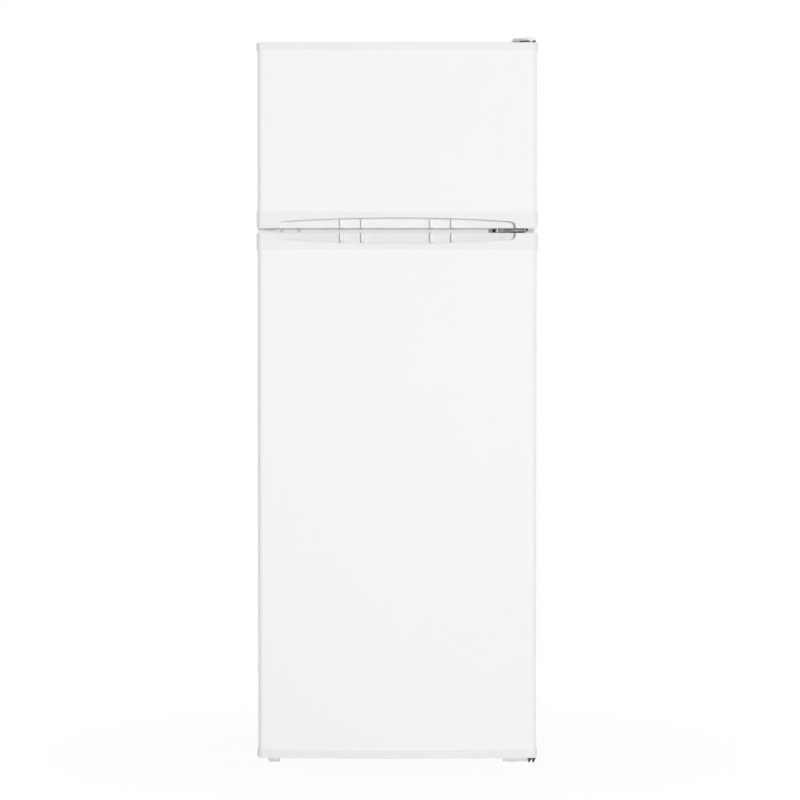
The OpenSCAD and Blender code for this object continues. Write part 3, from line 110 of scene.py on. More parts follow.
class RefrigeratorColors(PropertyGroup):
    """Colours of the finishes."""

    white_steel: color_property("Enamelled steel", "white_steel")
    white_cap: color_property("End caps", "white_cap")
    white_liner: color_property("Liners", "white_liner")
    back_steel: color_property("Rear panel", "back_steel")
    zinc_steel: color_property("Zinc plated steel", "zinc_steel")
    foam: color_property("Insulating foam", "foam")
    gasket: color_property("Door gaskets", "gasket")
    black_steel: color_property("Black painted steel", "black_steel")
    black_rubber: color_property("Rubber", "black_rubber")
    black_plastic: color_property("Black plastic", "black_plastic")
    copper: color_property("Copper", "copper")
    aluminium: color_property("Aluminium", "aluminium")
    grey_plastic: color_property("Grey plastic", "grey_plastic")
    clear_plastic: color_property("Clear plastic", "clear_plastic")
    glass: color_property("Glass", "glass")
    ice_tray_blue: color_property("Ice tray", "ice_tray_blue")
    wire_white: color_property("Coated wire", "wire_white")


class RefrigeratorSizes(PropertyGroup):
    """Sizes of the details that the parts themselves don't fix."""

    door_bow: length_property("Door bow", "How far a door front bows out in the middle", 12 * MM)
    upright_edge: length_property("Upright edge", "Radius of a door's upright front edges", 13 * MM)
    cap_step: length_property("Cap step", "How far the end caps stand out from the skin", 2 * MM)
    skin: length_property("Sheet steel", "Thickness of the doors' steel skin", 0.8 * MM)
    skin_lip: length_property("Skin lip", "Width of the lips folded in behind a skin", 16 * MM)
    moulded_edge: length_property("Moulded edge", "Edge radius of moulded plastic", 0.8 * MM)
    formed_edge: length_property("Formed edge", "Edge radius of vacuum formed sheet", 0.5 * MM)
    sheet_edge: length_property("Sheet edge", "Edge radius of cut sheet metal", 0.25 * MM)
    thread_pitch: length_property("Thread pitch", "Pitch of the feet's threads", 1.5 * MM)
    light_level: FloatProperty(
        name="Light level", description="Strength of the studio lamps", min=0.0, default=1.0
    )


# ---------------------------------------------------------------- finishes


class Finish:
    """A material that is built up in layers on Object coordinates."""

    def __init__(self, name, color, roughness, metallic=0.0):
        self.material = bpy.data.materials.new(name)
        self.material.use_nodes = True
        self.tree = self.material.node_tree
        self.shader = self.tree.nodes["Principled BSDF"]
        self.place = self.add("TexCoord").outputs["Object"]
        self.color = color
        self.normal = None
        self.set("Base Color", (*color, 1.0))
        self.set("Roughness", roughness)
        self.set("Metallic", metallic)

    def add(self, kind):
        """A new node of the material."""
        return self.tree.nodes.new("ShaderNode" + kind)

    def set(self, socket, value):
        self.shader.inputs[socket].default_value = value

    def join(self, output, socket):
        self.tree.links.new(output, socket)

    def stretched(self, stretch):
        """Object coordinates, drawn out along an axis where stretch is above 1."""
        mapping = self.add("Mapping")
        mapping.inputs["Scale"].default_value = [1.0 / s for s in stretch]
        self.join(self.place, mapping.inputs["Vector"])
        return mapping.outputs["Vector"]

    def clouds(self, size, stretch=(1, 1, 1), detail=2.0):
        """Soft patches of about this size."""
        noise = self.add("TexNoise")
        noise.inputs["Scale"].default_value = 1.0 / size
        noise.inputs["Detail"].default_value = detail
        self.join(self.stretched(stretch), noise.inputs["Vector"])
        return noise.outputs["Fac"]

    def cells(self, size, output="Distance"):
        """Cells of about this size."""
        voronoi = self.add("TexVoronoi")
        voronoi.inputs["Scale"].default_value = 1.0 / size
        self.join(self.place, voronoi.inputs["Vector"])
        return voronoi.outputs[output]

    def ramp(self, factor, low, high, start, end, curve="LINEAR"):
        """Values from low to high while factor goes from start to end."""
        spread = self.add("MapRange")
        spread.interpolation_type = curve
        ends = {"From Min": start, "From Max": end, "To Min": low, "To Max": high}
        for socket, value in ends.items():
            spread.inputs[socket].default_value = value
        self.join(factor, spread.inputs["Value"])
        return spread.outputs["Result"]

    def tint(self, factor, dark, light=1.0, start=0.3, end=0.7):
        """Colours the surface between darker and lighter shades of its colour."""
        shade = self.add("ValToRGB")
        for element, spot, level in zip(shade.color_ramp.elements, (start, end), (dark, light)):
            element.position = spot
            element.color = (*(min(1.0, c * level) for c in self.color), 1.0)
        self.join(factor, shade.inputs["Fac"])
        self.join(shade.outputs["Color"], self.shader.inputs["Base Color"])
        self.painted = shade.outputs["Color"]

    def stain(self, factor, color, low, high, start=0.45, end=0.75):
        """Lays another colour over the tinted one, from low to high strength."""
        mix = self.add("MixRGB")
        mix.inputs["Color2"].default_value = (*color, 1.0)
        self.join(self.ramp(factor, low, high, start, end), mix.inputs["Fac"])
        self.join(self.painted, mix.inputs["Color1"])
        self.join(mix.outputs["Color"], self.shader.inputs["Base Color"])
        self.painted = mix.outputs["Color"]

    def shine(self, factor, low, high, start=0.3, end=0.7):
        """Varies the roughness from low to high."""
        self.join(self.ramp(factor, low, high, start, end), self.shader.inputs["Roughness"])

    def bump(self, height, depth):
        """Raises the surface by depth where height is 1."""
        bump = self.add("Bump")
        bump.inputs["Strength"].default_value = 1.0
        bump.inputs["Distance"].default_value = depth
        self.join(height, bump.inputs["Height"])
        if self.normal:
            self.join(self.normal, bump.inputs["Normal"])
        self.normal = bump.outputs["Normal"]
        self.join(self.normal, self.shader.inputs["Normal"])


def enamel(color):
    """Glossy baked enamel with a faint orange peel."""
    finish = Finish("white_enamel", color, 0.26)
    finish.tint(finish.clouds(0.5, detail=0.0), 0.994, 1.0, 0.0, 1.0)
    finish.shine(finish.clouds(0.3, detail=0.0), 0.25, 0.28, 0.0, 1.0)
    finish.bump(finish.clouds(3.5 * MM, detail=1.0), 0.012 * MM)
    return finish


def cap_plastic(color):
    """Moulded white plastic with a fine satin grain."""
    finish = Finish("cap_plastic", [0.975 * c for c in color], 0.38)
    finish.tint(finish.clouds(0.09, (2.5, 1, 1)), 0.975)
    finish.shine(finish.clouds(6 * MM), 0.34, 0.44)
    finish.bump(finish.clouds(0.9 * MM, detail=1.0), 0.02 * MM)
    return finish


def liner_plastic(color):
    """Vacuum formed sheet, a little wavy where it was drawn deep."""
    finish = Finish("liner_plastic", color, 0.34)
    finish.tint(finish.clouds(0.12), 0.97)
    finish.shine(finish.clouds(25 * MM), 0.28, 0.4)
    finish.bump(finish.clouds(14 * MM, detail=1.0), 0.12 * MM)
    finish.bump(finish.clouds(0.7 * MM, detail=1.0), 0.015 * MM)
    return finish


def rear_paint(color):
    """Grey powder coat with a coarse grain."""
    finish = Finish("rear_powder_coat", color, 0.5)
    finish.tint(finish.clouds(0.2), 0.93, 1.02)
    finish.shine(finish.clouds(0.05), 0.42, 0.58)
    finish.bump(finish.clouds(1.2 * MM), 0.05 * MM)
    return finish


def zinc_plate(color):
    """Zinc plated steel with the spangle of its crystals."""
    finish = Finish("zinc_plate", color, 0.38, 1.0)
    finish.tint(finish.cells(5 * MM, output="Color"), 0.84, 1.1, 0.1, 0.9)
    finish.stain(finish.clouds(0.03, detail=4.0), (0.47, 0.46, 0.44), 0.0, 0.4)
    finish.shine(finish.clouds(8 * MM), 0.3, 0.5)
    finish.bump(finish.clouds(1.5 * MM), 0.02 * MM)
    return finish


def insulating_foam(color):
    """Rigid foam with closed cells and a yellowed skin."""
    finish = Finish("insulating_foam", color, 0.9)
    finish.tint(finish.clouds(0.05, detail=4.0), 0.86, 1.05)
    finish.stain(finish.clouds(0.2), (0.78, 0.66, 0.4), 0.0, 0.35)
    where = finish.add("SeparateXYZ")
    finish.join(finish.place, where.inputs["Vector"])
    finish.stain(where.outputs["Y"], FILM_COLOR, 1.0, 0.0, FILM_Y, FILM_Y + FILM_BLEND)
    finish.bump(finish.cells(2.2 * MM), 0.5 * MM)
    return finish


def gasket_vinyl(color):
    """Soft vinyl with a slight bloom in its folds."""
    finish = Finish("gasket_vinyl", color, 0.55)
    finish.tint(finish.clouds(0.03, detail=3.0), 0.93)
    finish.shine(finish.clouds(5 * MM), 0.48, 0.66)
    finish.bump(finish.clouds(1.5 * MM), 0.03 * MM)
    finish.set("Subsurface Weight", 0.06)
    return finish


def black_paint(color):
    """Black dipped paint with a little dust on it."""
    finish = Finish("black_dipped_paint", color, 0.4)
    finish.tint(finish.clouds(0.04, detail=3.0), 0.8, 1.15)
    finish.stain(finish.clouds(0.012, detail=5.0), (0.3, 0.29, 0.27), 0.0, 0.16)
    finish.shine(finish.clouds(9 * MM), 0.3, 0.55)
    finish.bump(finish.clouds(2.5 * MM), 0.03 * MM)
    return finish


def rubber(color):
    """Matt moulded rubber."""
    finish = Finish("moulded_rubber", color, 0.8)
    finish.tint(finish.clouds(6 * MM, detail=4.0), 0.8, 1.4)
    finish.shine(finish.clouds(4 * MM), 0.7, 0.9)
    finish.bump(finish.clouds(0.8 * MM), 0.04 * MM)
    return finish


def black_moulding(color):
    """Black plastic with a spark eroded grain."""
    finish = Finish("black_moulding", color, 0.5)
    finish.tint(finish.clouds(0.02), 0.85, 1.3)
    finish.shine(finish.clouds(3 * MM), 0.42, 0.6)
    finish.bump(finish.cells(0.6 * MM), 0.03 * MM)
    return finish


def copper_tube(color):
    """Drawn copper that has begun to tarnish."""
    finish = Finish("copper_tube", color, 0.3, 1.0)
    finish.tint(finish.clouds(0.015, detail=4.0), 0.75, 1.08)
    finish.stain(finish.clouds(0.04, detail=5.0), (0.26, 0.14, 0.09), 0.0, 0.55)
    finish.shine(finish.clouds(6 * MM), 0.2, 0.48)
    finish.bump(finish.clouds(1.5 * MM), 0.02 * MM)
    return finish


def rolled_aluminium(color):
    """Aluminium sheet with the fine lines of the rolls."""
    finish = Finish("rolled_aluminium", color, 0.42, 1.0)
    finish.tint(finish.clouds(0.6 * MM, (60, 1, 1)), 0.9, 1.05)
    finish.shine(finish.clouds(0.02), 0.34, 0.52)
    finish.bump(finish.clouds(0.6 * MM, (60, 1, 1)), 0.012 * MM)
    return finish


def grey_moulding(color):
    """Light grey moulded plastic."""
    finish = Finish("grey_moulding", color, 0.46)
    finish.tint(finish.clouds(0.03), 0.94, 1.02)
    finish.shine(finish.clouds(4 * MM), 0.4, 0.55)
    finish.bump(finish.clouds(0.8 * MM), 0.03 * MM)
    return finish


def clear_moulding(color):
    """Clear styrene with flow lines and a few scuffs."""
    finish = Finish("clear_styrene", color, 0.08)
    finish.set("Transmission Weight", 0.6)
    finish.set("Alpha", 0.35)
    finish.set("IOR", 1.5)
    finish.tint(finish.clouds(0.05), 0.97, 1.03)
    finish.shine(finish.clouds(0.03, detail=5.0), 0.05, 0.2)
    finish.bump(finish.clouds(0.03, (3, 1, 1)), 0.05 * MM)
    return finish


def float_glass(color):
    """Green tinted glass, faintly greasy."""
    finish = Finish("float_glass", color, 0.03)
    finish.set("Transmission Weight", 0.92)
    finish.set("IOR", 1.52)
    finish.tint(finish.clouds(0.2), 0.98, 1.02)
    finish.shine(finish.clouds(0.06, detail=4.0), 0.02, 0.09)
    finish.bump(finish.clouds(0.1), 0.03 * MM)
    return finish


def tray_plastic(color):
    """Blue polythene with a waxy look."""
    finish = Finish("blue_polythene", color, 0.42)
    finish.set("Subsurface Weight", 0.12)
    finish.tint(finish.clouds(0.03), 0.92, 1.06)
    finish.shine(finish.clouds(5 * MM), 0.34, 0.5)
    finish.bump(finish.clouds(MM), 0.03 * MM)
    return finish


def wire_coat(color):
    """White dip coat, thicker at the welds."""
    finish = Finish("white_dip_coat", color, 0.36)
    finish.tint(finish.clouds(0.02, detail=3.0), 0.95)
    finish.shine(finish.clouds(5 * MM), 0.3, 0.45)
    finish.bump(finish.clouds(2.5 * MM), 0.05 * MM)
    return finish


FINISHES = {
    "white_steel": enamel,
    "white_cap": cap_plastic,
    "white_liner": liner_plastic,
    "back_steel": rear_paint,
    "zinc_steel": zinc_plate,
    "foam": insulating_foam,
    "gasket": gasket_vinyl,
    "black_steel": black_paint,
    "black_rubber": rubber,
    "black_plastic": black_moulding,
    "copper": copper_tube,
    "aluminium": rolled_aluminium,
    "grey_plastic": grey_moulding,
    "clear_plastic": clear_moulding,
    "glass": float_glass,
    "ice_tray_blue": tray_plastic,
    "wire_white": wire_coat,
}
made_finishes = {}


def finish_for(slot):
    """The finish of a material slot, made the first time it is asked for."""
    if slot not in made_finishes:
        color = getattr(bpy.context.scene.refrigerator_colors, slot)
        made_finishes[slot] = FINISHES[slot](tuple(color)).material
    return made_finishes[slot]


# ---------------------------------------------------------------- modelling

# Angle above which an edge is sharp
CREASE = math.radians(35.0)
# Triangles that meet within this angle are one flat face
FLAT = math.radians(0.6)
# Turns about X that point a part's +Z to the front, to the back and down
TO_FRONT, TO_BACK, TO_FLOOR = math.pi / 2, -math.pi / 2, math.pi


def new_object(name, data):
    """Adds an object for a mesh, a lamp or a camera to the scene."""
    made = bpy.data.objects.new(name, data)
    bpy.context.collection.objects.link(made)
    return made


def piece(name, work, node, slot=None):
    """Makes a mesh a piece on a CAD node's body, in the node's own finish or a given one."""
    mesh = bpy.data.meshes.new(name)
    work.to_mesh(mesh)
    work.free()
    mesh.shade_smooth()
    mesh.set_sharp_from_angle(angle=CREASE)
    made = new_object(name, mesh)
    slot = slot or SLOT_OF[node]
    mesh.materials.append(finish_for(slot))
    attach(made, frame["nodes"][node]["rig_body"])
    return made


def stand_in(name, work, node):
    """A piece that replaces its CAD node."""
    made = piece(name, work, node)
    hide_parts(node)
    return made


def merged(node):
    """A copy of a CAD node with its loose triangles merged into flat faces."""
    copy = bmesh.new()
    copy.from_mesh(frame["nodes"][node].data)
    bmesh.ops.remove_doubles(copy, verts=copy.verts[:], dist=0.002 * MM)
    bmesh.ops.dissolve_limit(copy, angle_limit=FLAT, verts=copy.verts[:], edges=copy.edges[:])
    copy.normal_update()
    return copy


def round_over(work, edges, radius, segments):
    """Rounds the given edges."""
    bmesh.ops.bevel(
        work,
        geom=edges,
        offset=radius,
        offset_type="OFFSET",
        affect="EDGES",
        segments=segments,
        profile=0.5,
        material=-1,
        clamp_overlap=True,
    )


def soften(work, radius, segments=2):
    """Rounds every sharp edge."""
    work.normal_update()
    seams = [e for e in work.edges if len(e.link_faces) == 2]
    round_over(work, [e for e in seams if e.calc_face_angle(0.0) > CREASE], radius, segments)
    return work


def softened(node, radius, segments=2, shape=None):
    """A CAD node's own shape, its edges rounded as they leave the mould or the press."""
    work = merged(node)
    if shape:
        shape(work)
    made = stand_in(node + "_piece", soften(work, radius, segments), node)
    weighted = made.modifiers.new("Flat faces", "WEIGHTED_NORMAL")
    weighted.keep_sharp = True


def soften_parts(radii):
    """Softens several nodes, each with its own edge radius in millimetres."""
    for node, radius in radii.items():
        softened(node, radius * MM)


def block(low, high):
    """A box between two corners, to be worked on."""
    work = bmesh.new()
    bmesh.ops.create_cube(work, size=1.0)
    low, high = Vector(low), Vector(high)
    fit = Matrix.Translation((low + high) / 2) @ Matrix.Diagonal((*(high - low), 1.0))
    bmesh.ops.transform(work, matrix=fit, verts=work.verts[:])
    return work


def block_from(corner, low, high):
    """A box between two corners, in millimetres from a corner of a part."""
    return block(*([c + v * MM for c, v in zip(corner, end)] for end in (low, high)))


def spun(profile, steps):
    """A turned part about Z from its (radius, height) outline."""
    work = bmesh.new()
    points = [work.verts.new((r, 0.0, z)) for r, z in profile]
    line = [work.edges.new(pair) for pair in zip(points, points[1:])]
    bmesh.ops.spin(
        work,
        geom=points + line,
        cent=(0, 0, 0),
        axis=(0, 0, 1),
        angle=math.tau,
        steps=steps,
        use_merge=True,
    )
    bmesh.ops.remove_doubles(work, verts=work.verts[:], dist=0.005 * MM)
    bmesh.ops.recalc_face_normals(work, faces=work.faces[:])
    return work


def place(work, spot, turn=0.0):
    """Turns a mesh about X and moves it to a spot."""
    matrix = Matrix.Translation(spot) @ Matrix.Rotation(turn, 4, "X")
    bmesh.ops.transform(work, matrix=matrix, verts=work.verts[:])
    return work


def join(into, other):
    """Adds another mesh to the first one."""
    carrier = bpy.data.meshes.new("carrier")
    other.to_mesh(carrier)
    other.free()
    into.from_mesh(carrier)
    bpy.data.meshes.remove(carrier)
    return into


def upright_edges(work, length):
    """The edges that rise by more than a length."""
    return [e for e in work.edges if abs((e.verts[0].co - e.verts[1].co).z) > length]


def groove(work, steps, radius, low, high, width, depth):
    """Sinks every third face of a turned part's side, between two heights."""
    side = []
    for face in work.faces:
        middle = face.calc_center_median()
        if middle.xy.length > radius and low < middle.z < high:
            turn = math.atan2(middle.y, middle.x) * steps / math.tau
            if int(round(turn - 0.5)) % 3 == 0:
                side.append(face)
    bmesh.ops.inset_individual(work, faces=side, thickness=width, depth=-depth)


def solids(node):
    """(lowest corner, highest corner) of each separate solid of a CAD node, from left to right."""
    work = merged(node)
    left = set(work.verts)
    boxes = []
    while left:
        reached = {left.pop()}
        front = list(reached)
        while front:
            vert = front.pop()
            for edge in vert.link_edges:
                other = edge.other_vert(vert)
                if other not in reached:
                    reached.add(other)
                    front.append(other)
        left -= reached
        ends = [Vector(pick(v.co[i] for v in reached) for i in range(3)) for pick in (min, max)]
        boxes.append(ends)
    work.free()
    return sorted(boxes, key=lambda box: (round(box[0].x, 4), box[0].y, box[0].z))


# ---------------------------------------------------------------- doors

# Ribs at the back of the pocket handles
RIBS_X = (-108 * MM, -67 * MM, 67 * MM, 108 * MM)
RIB_HALF = 3.4 * MM
RIB_DEPTH = 12 * MM
RIB_FOOT, RIB_HEIGHT = 0.6 * MM, 17.5 * MM
RIB_EDGE = 1.4 * MM
POCKET_DEPTH = 19 * MM
# Rear edges of the doors, and the cuts that let their fronts bow
REAR_EDGE = 3 * MM
BOW_CUTS = 63


class Door:
    """Sizes that both doors share, from the frame."""

    low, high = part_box("freezer_door_handle_cap")
    half = high.x
    front = low.y
    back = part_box("freezer_door_skin")[1].y

    @classmethod
    def edge(cls):
        return cls.front + bpy.context.scene.refrigerator_sizes.door_bow

    @classmethod
    def bow(cls, x):
        """How far the front stands out at x."""
        sizes = bpy.context.scene.refrigerator_sizes
        reach = min(abs(x), cls.half - sizes.upright_edge)
        return sizes.door_bow * (1.0 - (reach / cls.half) ** 2)


def door_block(z0, z1, inset):
    """The shape of a door between two heights: bowed front and round upright edges."""
    sizes = bpy.context.scene.refrigerator_sizes
    half, front = Door.half - inset, Door.edge() + inset
    work = block((-half, front, z0), (half, Door.back, z1))
    middle, tall = (front + Door.back) / 2, (z1 - z0) / 2
    fore = [e for e in upright_edges(work, tall) if e.verts[0].co.y < middle]
    round_over(work, fore, sizes.upright_edge - inset, 10)
    rear = [e for e in upright_edges(work, tall) if min(v.co.y for v in e.verts) > Door.back - MM]
    round_over(work, rear, REAR_EDGE, 3)
    along = [e for e in work.edges if abs(e.verts[0].co.x - e.verts[1].co.x) > half]
    bmesh.ops.subdivide_edges(work, edges=along, cuts=BOW_CUTS, use_grid_fill=True)
    for vert in work.verts:
        if vert.co.y < middle:
            vert.co.y -= Door.bow(vert.co.x)
    return work


def door_skin(name, node):
    """Enamelled sheet, folded round the sides with a lip behind."""
    sizes = bpy.context.scene.refrigerator_sizes
    low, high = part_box(node)
    work = door_block(low.z, high.z, sizes.cap_step)
    lip_x = high.x - sizes.skin_lip
    for side in (-1, 1):
        everything = work.verts[:] + work.edges[:] + work.faces[:]
        bmesh.ops.bisect_plane(
            work, geom=everything, plane_co=(side * lip_x, 0, 0), plane_no=(side, 0, 0)
        )
    work.normal_update()
    ends = [f for f in work.faces if abs(f.normal.z) > 0.9]
    behind = [f for f in work.faces if f.normal.y > 0.9 and abs(f.calc_center_median().x) < lip_x]
    bmesh.ops.delete(work, geom=ends + behind, context="FACES")
    bmesh.ops.solidify(work, geom=work.faces[:], thickness=sizes.skin)
    stand_in(name, work, node)


class REFRIGERATOR_OT_door_skins(Operator):
    """Bowed steel skins of both doors"""

    bl_idname = "refrigerator.door_skins"
    bl_label = "Door skins"

    def execute(self, context):
        door_skin("freezer_door_sheet", "freezer_door_skin")
        door_skin("fridge_door_sheet", "fridge_door_skin")
        return {"FINISHED"}


class REFRIGERATOR_OT_end_caps(Operator):
    """Moulded end caps with the pocket handles"""

    bl_idname = "refrigerator.end_caps"
    bl_label = "End caps"

    def execute(self, context):
        radius = context.scene.refrigerator_sizes.moulded_edge
        for node in (
            "freezer_door_top_cap",
            "freezer_door_handle_cap",
            "fridge_door_handle_cap",
            "fridge_door_bottom_cap",
        ):
            softened(node, radius, 3)
        handle_ribs("freezer_handle_ribs", "freezer_door_handle_cap", True)
        handle_ribs("fridge_handle_ribs", "fridge_door_handle_cap", False)
        return {"FINISHED"}


def handle_ribs(name, node, upward):
    """Strips over the ribs at the back of a pocket handle, with rounded edges, in enamel whiter
    than the caps as a painted highlight.
    """
    low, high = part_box(node)
    open_edge, side = (low.z, 1) if upward else (high.z, -1)
    bottom, top = sorted(open_edge + side * z for z in (RIB_FOOT, RIB_HEIGHT))
    back = Door.edge() + POCKET_DEPTH
    front = back - RIB_DEPTH
    work = bmesh.new()
    for x in RIBS_X:
        strip = block((x - RIB_HALF, front, bottom), (x + RIB_HALF, back, top))
        fore = [e for e in strip.edges if max(v.co.y for v in e.verts) < front + MM]
        round_over(strip, fore, RIB_EDGE, 3)
        join(work, strip)
    # The white enamel makes the ribs brighter than the cap plastic around them: a painted
    # highlight.
    piece(name, work, node, slot="white_steel")


class REFRIGERATOR_OT_gaskets(Operator):
    """Magnetic door gaskets with their folds"""

    bl_idname = "refrigerator.gaskets"
    bl_label = "Gaskets"

    def execute(self, context):
        soften_parts({"freezer_door_gasket": 0.6, "fridge_door_gasket": 0.6})
        return {"FINISHED"}


# ---------------------------------------------------------------- cabinet

# Height of the foam hole over the rear panel's foot
FOAM_HOLE_Z = 30 * MM
# Radius and height of the plug that closes it, in millimetres
PLUG_OUTLINE = (
    (0.0, -3.0),
    (3.6, -3.0),
    (4.4, -2.2),
    (4.2, 0.05),
    (8.2, 0.05),
    (8.6, 0.5),
    (8.2, 1.0),
    (5.4, 1.5),
    (5.0, 1.15),
    (0.0, 1.3),
)


class REFRIGERATOR_OT_cabinet(Operator):
    """Folded steel cabinet, rear panel, base and divider strip"""

    bl_idname = "refrigerator.cabinet"
    bl_label = "Cabinet"

    def execute(self, context):
        radius = context.scene.refrigerator_sizes.sheet_edge
        for node in ("outer_shell", "rear_panel", "base_deck", "divider_strip", "roller_brackets"):
            softened(node, radius)
        low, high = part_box("rear_panel")
        outline = [(r * MM, h * MM) for r, h in PLUG_OUTLINE]
        plug = place(spun(outline, 40), (0.0, high.y, low.z + FOAM_HOLE_Z), TO_BACK)
        piece("foam_hole_plug", plug, "rear_panel", slot="grey_plastic")
        return {"FINISHED"}


# Edge radius of the hinges and bushes, in millimetres
PLATE_EDGE = 0.4
# Gap between the fridge door and the parts under it
DOOR_GAP = 0.6 * MM
# Start and width of the wedges along the bottom hinge
WEDGES = ((62.5 * MM, 6 * MM), (70 * MM, 7.5 * MM))
# Start and end of a wedge's narrow tip, as shares of its width
TIP_START, TIP_END = 0.1, 0.45
# The centre hinge's stop and clip, from its left end, front and middle height, and their radii
BUMPERS = (
    ((53.5, 8.0, -4.1), (63.3, 16.0, -1.4), 0.5 * MM),
    ((71.0, -0.8, -0.5), (75.0, 1.2, 3.8), 0.4 * MM),
)
# The strip and the lips on the top cover, from its left end, front and foot. The black lips are
# painted shade under the cover's foot
COVER_HEIGHT = 8.9 * MM
COVER_STRIP = ((1.2, -0.5, 1.6), (30.0, 0.3, 6.4))
COVER_SHADE_LIPS = (((15.0, -0.9, 0.7), (34.0, 0.2, 3.4)), ((39.0, -0.9, 0.7), (45.4, 0.2, 3.4)))
SHADE_LIP_TAPER = 1.1 * MM


class REFRIGERATOR_OT_hinges(Operator):
    """Hinges with their pins and bushes, the top cover and the small parts on them"""

    bl_idname = "refrigerator.hinges"
    bl_label = "Hinges"

    def execute(self, context):
        moulded = context.scene.refrigerator_sizes.moulded_edge
        soften_parts({"top_hinge": PLATE_EDGE, "center_hinge": PLATE_EDGE})
        softened("bottom_hinge", PLATE_EDGE * MM, shape=self.short_lip)
        softened("top_hinge_cover", moulded, 3, shape=self.sloping_top)
        soften_parts({"freezer_door_bushes": PLATE_EDGE, "fridge_door_bushes": PLATE_EDGE})
        self.lip_cover()
        self.end_wedges()
        self.toothed_strip()
        self.bumpers()
        self.cover_front()
        return {"FINISHED"}

    def short_lip(self, work):
        """Trims the bottom hinge's front lip to the height of its cover."""
        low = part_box("bottom_hinge")[0]
        lip, trimmed = 3.2 * MM, 2.2 * MM
        for vert in work.verts:
            if vert.co.y < low.y + lip and vert.co.z < low.z + 0.5 * MM:
                vert.co.z = low.z + trimmed

    def sloping_top(self, work):
        """Slopes the cover's top down towards the middle of the door."""
        low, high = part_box("top_hinge_cover")
        level_from, drop, wall = high.x - 16 * MM, 1.8 * MM, 1.2 * MM
        for vert in work.verts:
            if vert.co.z > high.z - wall:
                share = (level_from - vert.co.x) / (level_from - low.x)
                vert.co.z -= drop * min(1.0, max(0.0, share))

    def lip_cover(self):
        """Grey strip snapped over the bottom hinge's lip, close under the door."""
        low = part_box("bottom_hinge")[0]
        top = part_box("fridge_door_bottom_cap")[0].z - DOOR_GAP
        start, end = low.x + 13 * MM, low.x + 61 * MM
        front, back = low.y - 1.8 * MM, low.y - 0.05 * MM
        work = block((start, front, low.z + 2 * MM), (end, back, top))
        piece("hinge_lip_cover", soften(work, 0.5 * MM, 3), "bottom_hinge", slot="grey_plastic")

    def end_wedges(self):
        """Two black wedges that close the bottom hinge's outer end."""
        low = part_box("bottom_hinge")[0]
        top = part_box("fridge_door_bottom_cap")[0].z - DOOR_GAP
        front, back = low.y - 2.5 * MM, low.y + 1.5 * MM
        work = bmesh.new()
        for start, width in WEDGES:
            x = low.x + start
            wedge = block((x, front, low.z), (x + width, back, top))
            for vert in wedge.verts:
                if vert.co.z < low.z + MM:
                    vert.co.x = x + (TIP_START if vert.co.x < x + MM else TIP_END) * width
            join(work, soften(wedge, 0.4 * MM))
        piece("hinge_end_wedges", work, "bottom_hinge", slot="black_plastic")

    def toothed_strip(self):
        """Toothed strip over the centre hinge's inner screw, and its white spacer."""
        low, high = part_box("center_hinge")
        teeth, pitch, width = 15, 2.3 * MM, 1.2 * MM
        back, margin = high.y - 4.9 * MM, 13.6 * MM
        bottom, top = low.z + margin, high.z - margin
        start = low.x + 18 * MM
        strip = block((start, back - 1.2 * MM, bottom), (start + teeth * pitch, back, top))
        work = soften(strip, 0.2 * MM, 1)
        for tooth in range(teeth):
            x = start + 0.5 * MM + tooth * pitch
            ridge = block((x, back - 2.4 * MM, bottom), (x + width, back - 1.1 * MM, top))
            join(work, soften(ridge, 0.25 * MM))
        piece("toothed_strip", work, "center_hinge")
        left, right = start - 3.2 * MM, start - 0.2 * MM
        spacer = block((left, back - 2 * MM, bottom), (right, back, top))
        piece("hinge_spacer", soften(spacer, 0.3 * MM), "center_hinge", slot="white_cap")

    def bumpers(self):
        """Black door stop under the centre leaf and the clip in front of its pin."""
        low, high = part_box("center_hinge")
        corner = (low.x, low.y, (low.z + high.z) / 2)
        work = bmesh.new()
        for one, other, radius in BUMPERS:
            join(work, soften(block_from(corner, one, other), radius))
        piece("hinge_bumpers", work, "center_hinge", slot="black_plastic")

    def cover_front(self):
        """Plated strip on the top cover's front, and black lips along its foot that paint the shade
        under the cover.
        """
        low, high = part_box("top_hinge_cover")
        corner = (low.x, low.y, high.z - COVER_HEIGHT)
        strip = soften(block_from(corner, *COVER_STRIP), 0.25 * MM)
        piece("cover_front_plate", strip, "top_hinge")
        work = bmesh.new()
        for one, other in COVER_SHADE_LIPS:
            lip = block_from(corner, one, other)
            start, foot = min(v.co.x for v in lip.verts), min(v.co.z for v in lip.verts)
            for vert in lip.verts:
                if vert.co.x < start + 0.1 * MM and vert.co.z > foot + 0.1 * MM:
                    vert.co.z -= SHADE_LIP_TAPER
            join(work, soften(lip, 0.35 * MM))
        # Black lips stand in for the shaded hinge leaf under the cover: painted shade.
        piece("cover_painted_shade_lips", work, "top_hinge_cover", slot="black_plastic")


# Screws: head and thread, and the head's rings as shares of its diameter and height
HEAD_D, HEAD_H = 8 * MM, 2.2 * MM
THREAD_D, THREAD_PITCH, THREAD_ROOT = 5 * MM, 1.2 * MM, 0.84
HEAD_RINGS = ((0.44, -0.15), (0.5, -0.5), (0.5, -1.0), (THREAD_D / HEAD_D / 2, -1.0))
# Upright screws above this height have their heads up, and those below it have them down
HEADS_UP_Z = 1.0


def grow_ring(work, edges, share, width, z):
    """Extrudes a ring of edges to a circle, a share of a width, and gives the new ring."""
    grown = bmesh.ops.extrude_edge_only(work, edges=edges)["geom"]
    for vert in grown:
        if isinstance(vert, bmesh.types.BMVert):
            flat = Vector((vert.co.x, vert.co.y, 0.0)).normalized() * share * width
            vert.co = Vector((flat.x, flat.y, z))
    return [edge for edge in grown if isinstance(edge, bmesh.types.BMEdge)]


